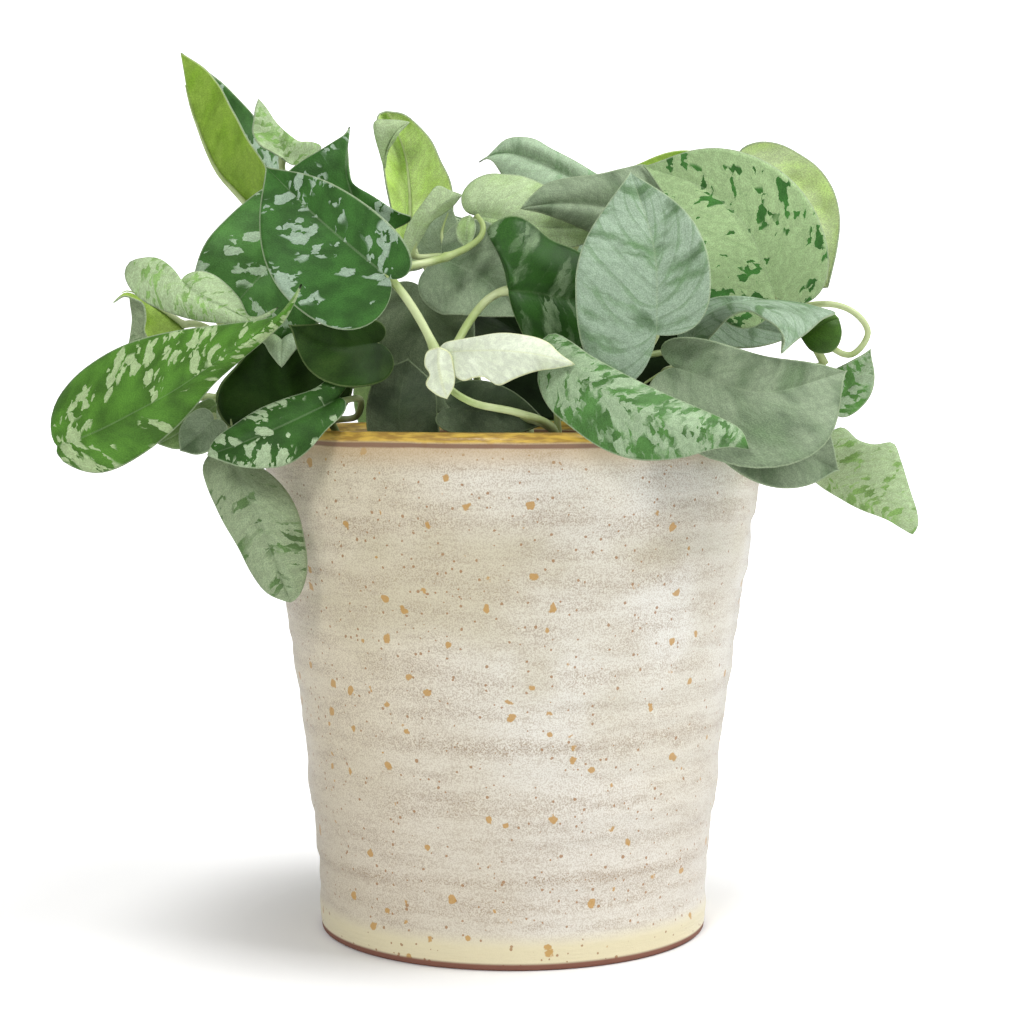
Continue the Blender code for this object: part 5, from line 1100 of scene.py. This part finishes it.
def cell_chance(tree, cells):
    """A number from 0 to 1 that each cell of a scatter keeps."""
    return put(tree, "ShaderNodeSeparateColor", {0: cells.outputs["Color"]}).outputs[0]


def add_bump(tree, shader, height, strength, distance):
    bump = put(tree, "ShaderNodeBump", {"Height": height, "Strength": strength, "Distance": distance * MM})
    tree.links.new(bump.outputs[0], shader.inputs["Normal"])


def new_material(name):
    """A material with its node tree and its shader."""
    material = bpy.data.materials.new(name)
    material.use_nodes = True
    return material, material.node_tree, material.node_tree.nodes["Principled BSDF"]


def new_group(name, inputs, outputs):
    """A node group with its named inputs and outputs."""
    group = bpy.data.node_groups.new(name, "ShaderNodeTree")
    for in_out, sockets in (("INPUT", inputs), ("OUTPUT", outputs)):
        for socket, kind in sockets:
            group.interface.new_socket(socket, in_out=in_out, socket_type="NodeSocket" + kind)
    return group, group.nodes.new("NodeGroupInput").outputs, group.nodes.new("NodeGroupOutput").inputs


def make_marks_group():
    """Blade markings: silver patches and flecks on green, side veins, midrib, pale margin and fine grain."""
    inputs = [(name, "Color") for name in ("Green", "Silver", "Margin")]
    inputs += [(name, "Float") for name in ("Amount", "Patches per cm", "Stretch", "Softness", "Veins",
                                            "Midrib", "Grain")]
    outputs = [("Color", "Color"), ("Height", "Float"), ("Patch", "Float")]
    group, given, out = new_group("satin blade marks", inputs, outputs)
    place = put(group, "ShaderNodeUVMap", uv_map="marks").outputs[0]
    scale, detail = MARKS_NOISE["wobble"]
    wobble = put(group, "ShaderNodeTexNoise", {"Vector": place, "Scale": scale, "Detail": detail})
    wobble = vector_node(group, "SUBTRACT", wobble.outputs["Color"], (0.5, 0.5, 0.5))
    moved = vector_node(group, "ADD", place, scaled_vector(group, wobble, 0.3))
    long_cells = math_node(group, "MULTIPLY", given["Patches per cm"], given["Stretch"])
    grow = put(group, "ShaderNodeCombineXYZ", {0: long_cells, 1: given["Patches per cm"], 2: 1.0}).outputs[0]
    scaled = vector_node(group, "MULTIPLY", moved, grow)
    pick = cell_chance(group, put(group, "ShaderNodeTexVoronoi", {"Vector": scaled, "Scale": 1.0}))
    fleck = cell_chance(group, put(group, "ShaderNodeTexVoronoi", {"Vector": scaled, "Scale": FLECK_SCALE}))
    soft = noise_value(group, scaled, *MARKS_NOISE["soft"])
    cluster = noise_value(group, place, *MARKS_NOISE["cluster"])
    gather = math_node(group, "MULTIPLY_ADD", cluster, 0.85, -0.22)
    large = math_node(group, "MULTIPLY_ADD", pick, 0.6, gather)
    small = math_node(group, "MULTIPLY_ADD", fleck, 0.52, gather)
    crisp = math_node(group, "MAXIMUM", large, small)
    blend = math_node(group, "MINIMUM", math_node(group, "MULTIPLY", given["Softness"], 6.0), 1.0)
    smooth = math_node(group, "MULTIPLY_ADD", soft, 1.6, -0.45)
    smooth = math_node(group, "MULTIPLY_ADD", cluster, 0.3, smooth)
    value = put(group, "ShaderNodeMix", {0: blend, 2: crisp, 3: smooth}, data_type="FLOAT").outputs[0]
    edge = math_node(group, "ADD", given["Softness"], PATCH_EDGE)
    low = math_node(group, "SUBTRACT", given["Amount"], edge)
    high = math_node(group, "ADD", given["Amount"], edge)
    patch = between(group, value, low, high)
    grain = noise_value(group, place, *MARKS_NOISE["grain"])
    tone = noise_value(group, place, *MARKS_NOISE["tone"])
    mottle = noise_value(group, moved, *MARKS_NOISE["mottle"])
    silver = scaled_vector(group, given["Silver"], between(group, mottle, 0.35, 0.7, 0.86, 1.06))
    green = scaled_vector(group, given["Green"], between(group, tone, 0.3, 0.7, 0.7, 1.3))
    color = mix_color(group, patch, green, silver)
    side = math_node(group, "ABSOLUTE", attribute(group, "across"))
    along = math_node(group, "MULTIPLY_ADD", side, -0.28, attribute(group, "down"))
    wander = math_node(group, "MULTIPLY_ADD", tone, 0.03, along)
    turns = 2 * math.pi * VEINS_A_HALF
    wave = math_node(group, "SINE", math_node(group, "MULTIPLY", wander, turns))
    vein = between(group, wave, 0.6, 1.0)
    fine = math_node(group, "SINE", math_node(group, "MULTIPLY", wander, turns * FINE_VEINS))
    vein = math_node(group, "MULTIPLY_ADD", between(group, fine, 0.3, 1.0), 0.3, vein)
    vein = math_node(group, "MULTIPLY", vein, between(group, tone, 0.3, 0.7, 0.3, 1.0))
    color = mix_color(group, math_node(group, "MULTIPLY", vein, given["Veins"]), color, green)
    rib_line = between(group, attribute(group, "from_rib"), *RIB_LINE, 1.0, 0.0)
    color = mix_color(group, math_node(group, "MULTIPLY", rib_line, given["Midrib"]), color, given["Margin"])
    rim = between(group, attribute(group, "to_edge"), *PALE_MARGIN, 0.8, 0.0)
    color = mix_color(group, rim, color, given["Margin"])
    # Fine grain brightens and darkens the colour: the blade's texture, partly a painted satin sparkle
    grain_and_painted_sparkle = math_node(group, "MULTIPLY", between(group, grain, 0.36, 0.64, -1.0, 1.0), given["Grain"])
    bright = scaled_vector(group, color, math_node(group, "ADD", grain_and_painted_sparkle, 1.0))
    height = math_node(group, "MULTIPLY_ADD", vein, -0.5, math_node(group, "MULTIPLY", grain, 1.4))
    height = math_node(group, "MULTIPLY_ADD", rib_line, -0.6, height)
    height = math_node(group, "MULTIPLY_ADD", patch, 0.25, height)
    for name, socket in (("Color", bright), ("Height", height), ("Patch", patch)):
        group.links.new(socket, out[name])
    return group


def make_blade_material(name, marks, finish):
    material, tree, shader = new_material(name)
    values = put(tree, "ShaderNodeGroup", node_tree=marks)
    for socket, key in (("Green", "green"), ("Silver", "silver"), ("Margin", "margin")):
        values.inputs[socket].default_value = (*finish[key], 1)
    for socket, key in (("Amount", "amount"), ("Patches per cm", "patches"), ("Stretch", "stretch"),
                        ("Softness", "soft"), ("Veins", "veins"), ("Midrib", "midrib"), ("Grain", "grain")):
        values.inputs[socket].default_value = finish[key]
    tree.links.new(values.outputs["Color"], shader.inputs["Base Color"])
    add_bump(tree, shader, values.outputs["Height"], finish["bump"], 0.25)
    rough = between(tree, values.outputs["Patch"], 0.0, 1.0, finish["rough"], finish["rough"] + 0.1)
    tree.links.new(rough, shader.inputs["Roughness"])
    shader.inputs["Specular IOR Level"].default_value = finish["gloss"]
    return material


def make_stem_material():
    """Pale green stems, darker towards the soil."""
    material, tree, shader = new_material("fresh_stem")
    place = object_place(tree)
    tone = noise_value(tree, place, 90.0, 4.0)
    color = mix_color(tree, between(tree, tone, 0.35, 0.65), (0.36, 0.47, 0.16, 1), (0.58, 0.67, 0.35, 1))
    height = put(tree, "ShaderNodeSeparateXYZ", {0: place}).outputs[2]
    color = mix_color(tree, between(tree, height, 0.150, 0.172, 0.75, 0.0), color, (0.12, 0.16, 0.05, 1))
    tree.links.new(color, shader.inputs["Base Color"])
    add_bump(tree, shader, noise_value(tree, place, 1500.0, 2.0), 0.2, 0.1)
    shader.inputs["Roughness"].default_value = 0.42
    return material


def make_soil_material(name, dark, light):
    material, tree, shader = new_material(name)
    place = object_place(tree)
    tone = noise_value(tree, place, 420.0, 6.0)
    color = mix_color(tree, between(tree, tone, 0.4, 0.7), (*dark, 1), (*light, 1))
    tree.links.new(color, shader.inputs["Base Color"])
    add_bump(tree, shader, noise_value(tree, place, 900.0, 5.0), 0.9, 0.8)
    shader.inputs["Roughness"].default_value = 0.95
    return material


def make_glaze():
    """Speckled cream glaze: grain that gathers in the rings' hollows, ochre spots, honey rim, bare foot."""
    material, tree, shader = new_material("speckled_glaze")
    place = object_place(tree)
    axes = put(tree, "ShaderNodeSeparateXYZ", {0: place}).outputs
    height = axes[2]
    flat_place = put(tree, "ShaderNodeMapping", {"Vector": place, "Scale": STREAK_FLATNESS}).outputs[0]
    streak, lines = [noise_value(tree, flat_place, *GLAZE_NOISE[name]) for name in ("streak", "lines")]
    grain, coarse, cloud, tinge = [noise_value(tree, place, *GLAZE_NOISE[name])
                                   for name in ("grain", "coarse", "cloud", "tinge")]
    tints, zones = GLAZE_TINTS, GLAZE_ZONES
    bare = between(tree, height, *zones["grain"])
    color = mix_color(tree, between(tree, cloud, 0.35, 0.65), tints["clouded"], tints["clear"])
    # Painted shade: a darker, warmer tint over the pot's left side, where the specks also crowd
    left_shade = between(tree, axes[0], LEFT_SHADE_FROM, LEFT_SHADE_TO, 0.7, 0.0)
    color = mix_color(tree, left_shade, color, tints["left_shade"])
    color = mix_color(tree, between(tree, height, *zones["low"], 0.45, 0.0), color, tints["low"])
    olive = between(tree, tinge, 0.48, 0.68, 0.0, 0.6)
    olive = math_node(tree, "MULTIPLY", olive, between(tree, height, *zones["olive"]))
    color = mix_color(tree, olive, color, tints["olive"])
    color = mix_color(tree, between(tree, height, *zones["cream"], 1.0, 0.0), color, tints["cream"])
    hollow = attribute(tree, "hollow")
    thin = math_node(tree, "MULTIPLY_ADD", hollow, 0.75, between(tree, streak, 0.42, 0.68, 0.0, 0.45))
    thin = math_node(tree, "ADD", thin, between(tree, lines, 0.45, 0.7, 0.0, 0.25))
    thin = math_node(tree, "MULTIPLY", thin, bare)
    dust = between(tree, grain, 0.42, 0.62)
    dust = math_node(tree, "MULTIPLY", dust, math_node(tree, "MULTIPLY_ADD", thin, 0.55, 0.3))
    dust = math_node(tree, "MULTIPLY", dust, math_node(tree, "MULTIPLY_ADD", bare, 0.85, 0.15))
    color = mix_color(tree, dust, color, tints["dust"])
    stain = math_node(tree, "MULTIPLY", thin, between(tree, coarse, 0.35, 0.65, 0.1, 0.5))
    color = mix_color(tree, stain, color, tints["stain"])
    color = add_spots(tree, place, color, coarse, 420.0, (0.66, 1.15), 0.17, tints["speck"], left_shade)
    color = add_spots(tree, place, color, coarse, 165.0, (0.90, 1.3), 0.23, tints["spot"])
    color = mix_color(tree, between(tree, height, *zones["tan"], 0.0, 0.7), color, tints["tan"])
    uneven = math_node(tree, "MULTIPLY_ADD", streak, RIM_WANDER, height)
    line = math_node(tree, "MULTIPLY", between(tree, uneven, *zones["line_starts"]),
                     between(tree, uneven, *zones["line_ends"], 1.0, 0.0))
    color = mix_color(tree, math_node(tree, "MULTIPLY", line, 0.9), color, tints["line"])
    honey = mix_color(tree, between(tree, lines, 0.38, 0.62), tints["honey"], tints["burnt_honey"])
    color = mix_color(tree, between(tree, uneven, *zones["rim"]), color, honey)
    foot = between(tree, height, *zones["foot"], 1.0, 0.0)
    color = mix_color(tree, foot, color, tints["clay"])
    tree.links.new(color, shader.inputs["Base Color"])
    rough = between(tree, foot, 0.0, 1.0, GLAZE_ROUGHNESS, CLAY_ROUGHNESS)
    tree.links.new(rough, shader.inputs["Roughness"])
    relief = math_node(tree, "MULTIPLY_ADD", lines, 0.8, math_node(tree, "MULTIPLY", grain, 0.2))
    add_bump(tree, shader, math_node(tree, "ADD", relief, streak), 0.4, 0.6)
    return material


def add_spots(tree, place, color, ragged, scale, chances, size, tint, crowd=None):
    """Ragged spots of one tint, on the share of a scatter's cells that their chances pick."""
    cells = put(tree, "ShaderNodeTexVoronoi", {"Vector": place, "Scale": scale})
    gather = noise_value(tree, place, *GLAZE_NOISE["gather"])
    picked = math_node(tree, "MULTIPLY_ADD", gather, 0.8, cell_chance(tree, cells))
    if crowd:
        picked = math_node(tree, "MULTIPLY_ADD", crowd, 0.3, picked)
    radius = between(tree, picked, *chances, 0.0, size)
    rough_edge = math_node(tree, "MULTIPLY_ADD", ragged, 0.5, cells.outputs["Distance"])
    spot = between(tree, math_node(tree, "SUBTRACT", rough_edge, radius), 0.22, 0.27, 1.0, 0.0)
    return mix_color(tree, math_node(tree, "MULTIPLY", spot, 0.85), color, tint)


def make_paper():
    """White paper that glows for the camera alone: most on the wall, none beside the pot's foot: a painted
    shadow.
    """
    paper, tree, shader = new_material("white_paper")
    shader.inputs["Base Color"].default_value = (0.92, 0.92, 0.92, 1)
    shader.inputs["Roughness"].default_value = 0.9
    shader.inputs["Specular IOR Level"].default_value = 0.1
    shader.inputs["Emission Color"].default_value = (1, 1, 1, 1)
    place = object_place(tree)
    depth = put(tree, "ShaderNodeSeparateXYZ", {0: place}).outputs[1]
    reach = put(tree, "ShaderNodeVectorMath", {0: place}, operation="LENGTH").outputs["Value"]
    glow = between(tree, depth, WALL_STARTS, WALL_FULL, 1.0, WALL_GLOW / FLOOR_GLOW)
    # The glow fades out towards the pot's foot: a painted shadow round the foot
    glow = math_node(tree, "MULTIPLY", glow, between(tree, reach, GLOW_STARTS, GLOW_FULL, 0.0, FLOOR_GLOW))
    to_camera = put(tree, "ShaderNodeLightPath").outputs["Is Camera Ray"]
    tree.links.new(math_node(tree, "MULTIPLY", glow, to_camera), shader.inputs["Emission Strength"])
    return paper


def make_sweep():
    """White floor that curves up into a backdrop."""
    sweep = bmesh.new()
    line = [(PAPER_FRONT, 0), (PAPER_BACK, 0)]
    for i in range(1, PAPER_STEPS + 1):
        turn = math.radians(90) * i / PAPER_STEPS
        line.append((PAPER_BACK + PAPER_CURVE * math.sin(turn), PAPER_CURVE * (1 - math.cos(turn))))
    line.append((PAPER_BACK + PAPER_CURVE, PAPER_TOP))
    corners = [sweep.verts.new((-PAPER_SIDE, y, z)) for y, z in line]
    edges = [sweep.edges.new(pair) for pair in zip(corners, corners[1:])]
    bmesh.ops.extrude_edge_only(sweep, edges=edges)
    moved = [vertex for vertex in sweep.verts if vertex not in set(corners)]
    bmesh.ops.translate(sweep, vec=(2 * PAPER_SIDE, 0, 0), verts=moved)
    bmesh.ops.recalc_face_normals(sweep, faces=sweep.faces)
    floor = bpy.data.objects.new("studio_sweep", finished_mesh("studio_sweep", sweep, make_paper()))
    bpy.context.scene.collection.objects.link(floor)


def make_lights():
    """A plain white surrounding and the softboxes."""
    world = bpy.data.worlds.new("studio")
    bpy.context.scene.world = world
    world.use_nodes = True
    tree = world.node_tree
    background = tree.nodes["Background"]
    background.inputs["Color"].default_value = (1, 1, 1, 1)
    to_camera = put(tree, "ShaderNodeLightPath").outputs["Is Camera Ray"]
    sky = between(tree, to_camera, 0.0, 1.0, WORLD_STRENGTH, 1.0)
    tree.links.new(sky, background.inputs["Strength"])
    for name, place, size, power in STUDIO_LIGHTS:
        light = bpy.data.lights.new(name, "AREA")
        light.shape = "RECTANGLE"
        light.size, light.size_y = size
        light.energy = power
        lamp = bpy.data.objects.new(name, light)
        lamp.location = place
        lamp.rotation_euler = (Vector(LIGHTS_AIM) - Vector(place)).to_track_quat("-Z", "Y").to_euler()
        bpy.context.scene.collection.objects.link(lamp)


def make_camera():
    """The photo's level view, shifted so that the horizon and the pot's axis fall where they show."""
    data = bpy.data.cameras.new("photo_view")
    data.sensor_width = SENSOR_WIDTH
    data.lens = PIXELS_PER_METRE_AT_AXIS * EYE_DISTANCE * SENSOR_WIDTH / PICTURE_SIZE
    horizon_row = GROUND_ROW - EYE_HEIGHT * PIXELS_PER_METRE_AT_AXIS
    data.shift_y = (horizon_row - PICTURE_SIZE / 2) / PICTURE_SIZE
    data.shift_x = (PICTURE_SIZE / 2 - AXIS_COLUMN) / PICTURE_SIZE
    camera = bpy.data.objects.new("photo_view", data)
    camera.location = (0, -EYE_DISTANCE, EYE_HEIGHT)
    camera.rotation_euler = (math.radians(90), 0, 0)
    bpy.context.scene.collection.objects.link(camera)
    bpy.context.scene.camera = camera
    view = bpy.context.scene.view_settings
    view.view_transform = "Standard"
    view.look = "None"


def main():
    make_pot(make_glaze())
    make_soil(make_soil_material("peat", (0.012, 0.008, 0.006), (0.05, 0.034, 0.024)))
    make_crumbs(make_soil_material("bark_crumbs", (0.03, 0.018, 0.011), (0.11, 0.07, 0.045)))
    marks = make_marks_group()
    finishes = {name: make_blade_material(name, marks, {**PLAIN_FINISH, **finish})
                for name, finish in FINISHES.items()}
    ribs = {}
    for seed, leaf in enumerate(LEAVES + SMALL_LEAVES):
        leaf["seed"] = seed
        name = leaf["name"]
        ribs[name] = Rib([seen(*point) for point in leaf["rib"]])
        upper, under = leaf["sides"] if "sides" in leaf else SIDES[name]
        make_blade(leaf, ribs[name], finishes[upper], finishes[under], name if name in SIDES else None)
    stem = make_stem_material()
    make_side_shoot(stem)
    for name, way in VINES.items():
        make_vine(name, way, ribs, stem)
    make_sweep()
    make_lights()
    make_camera()


main()
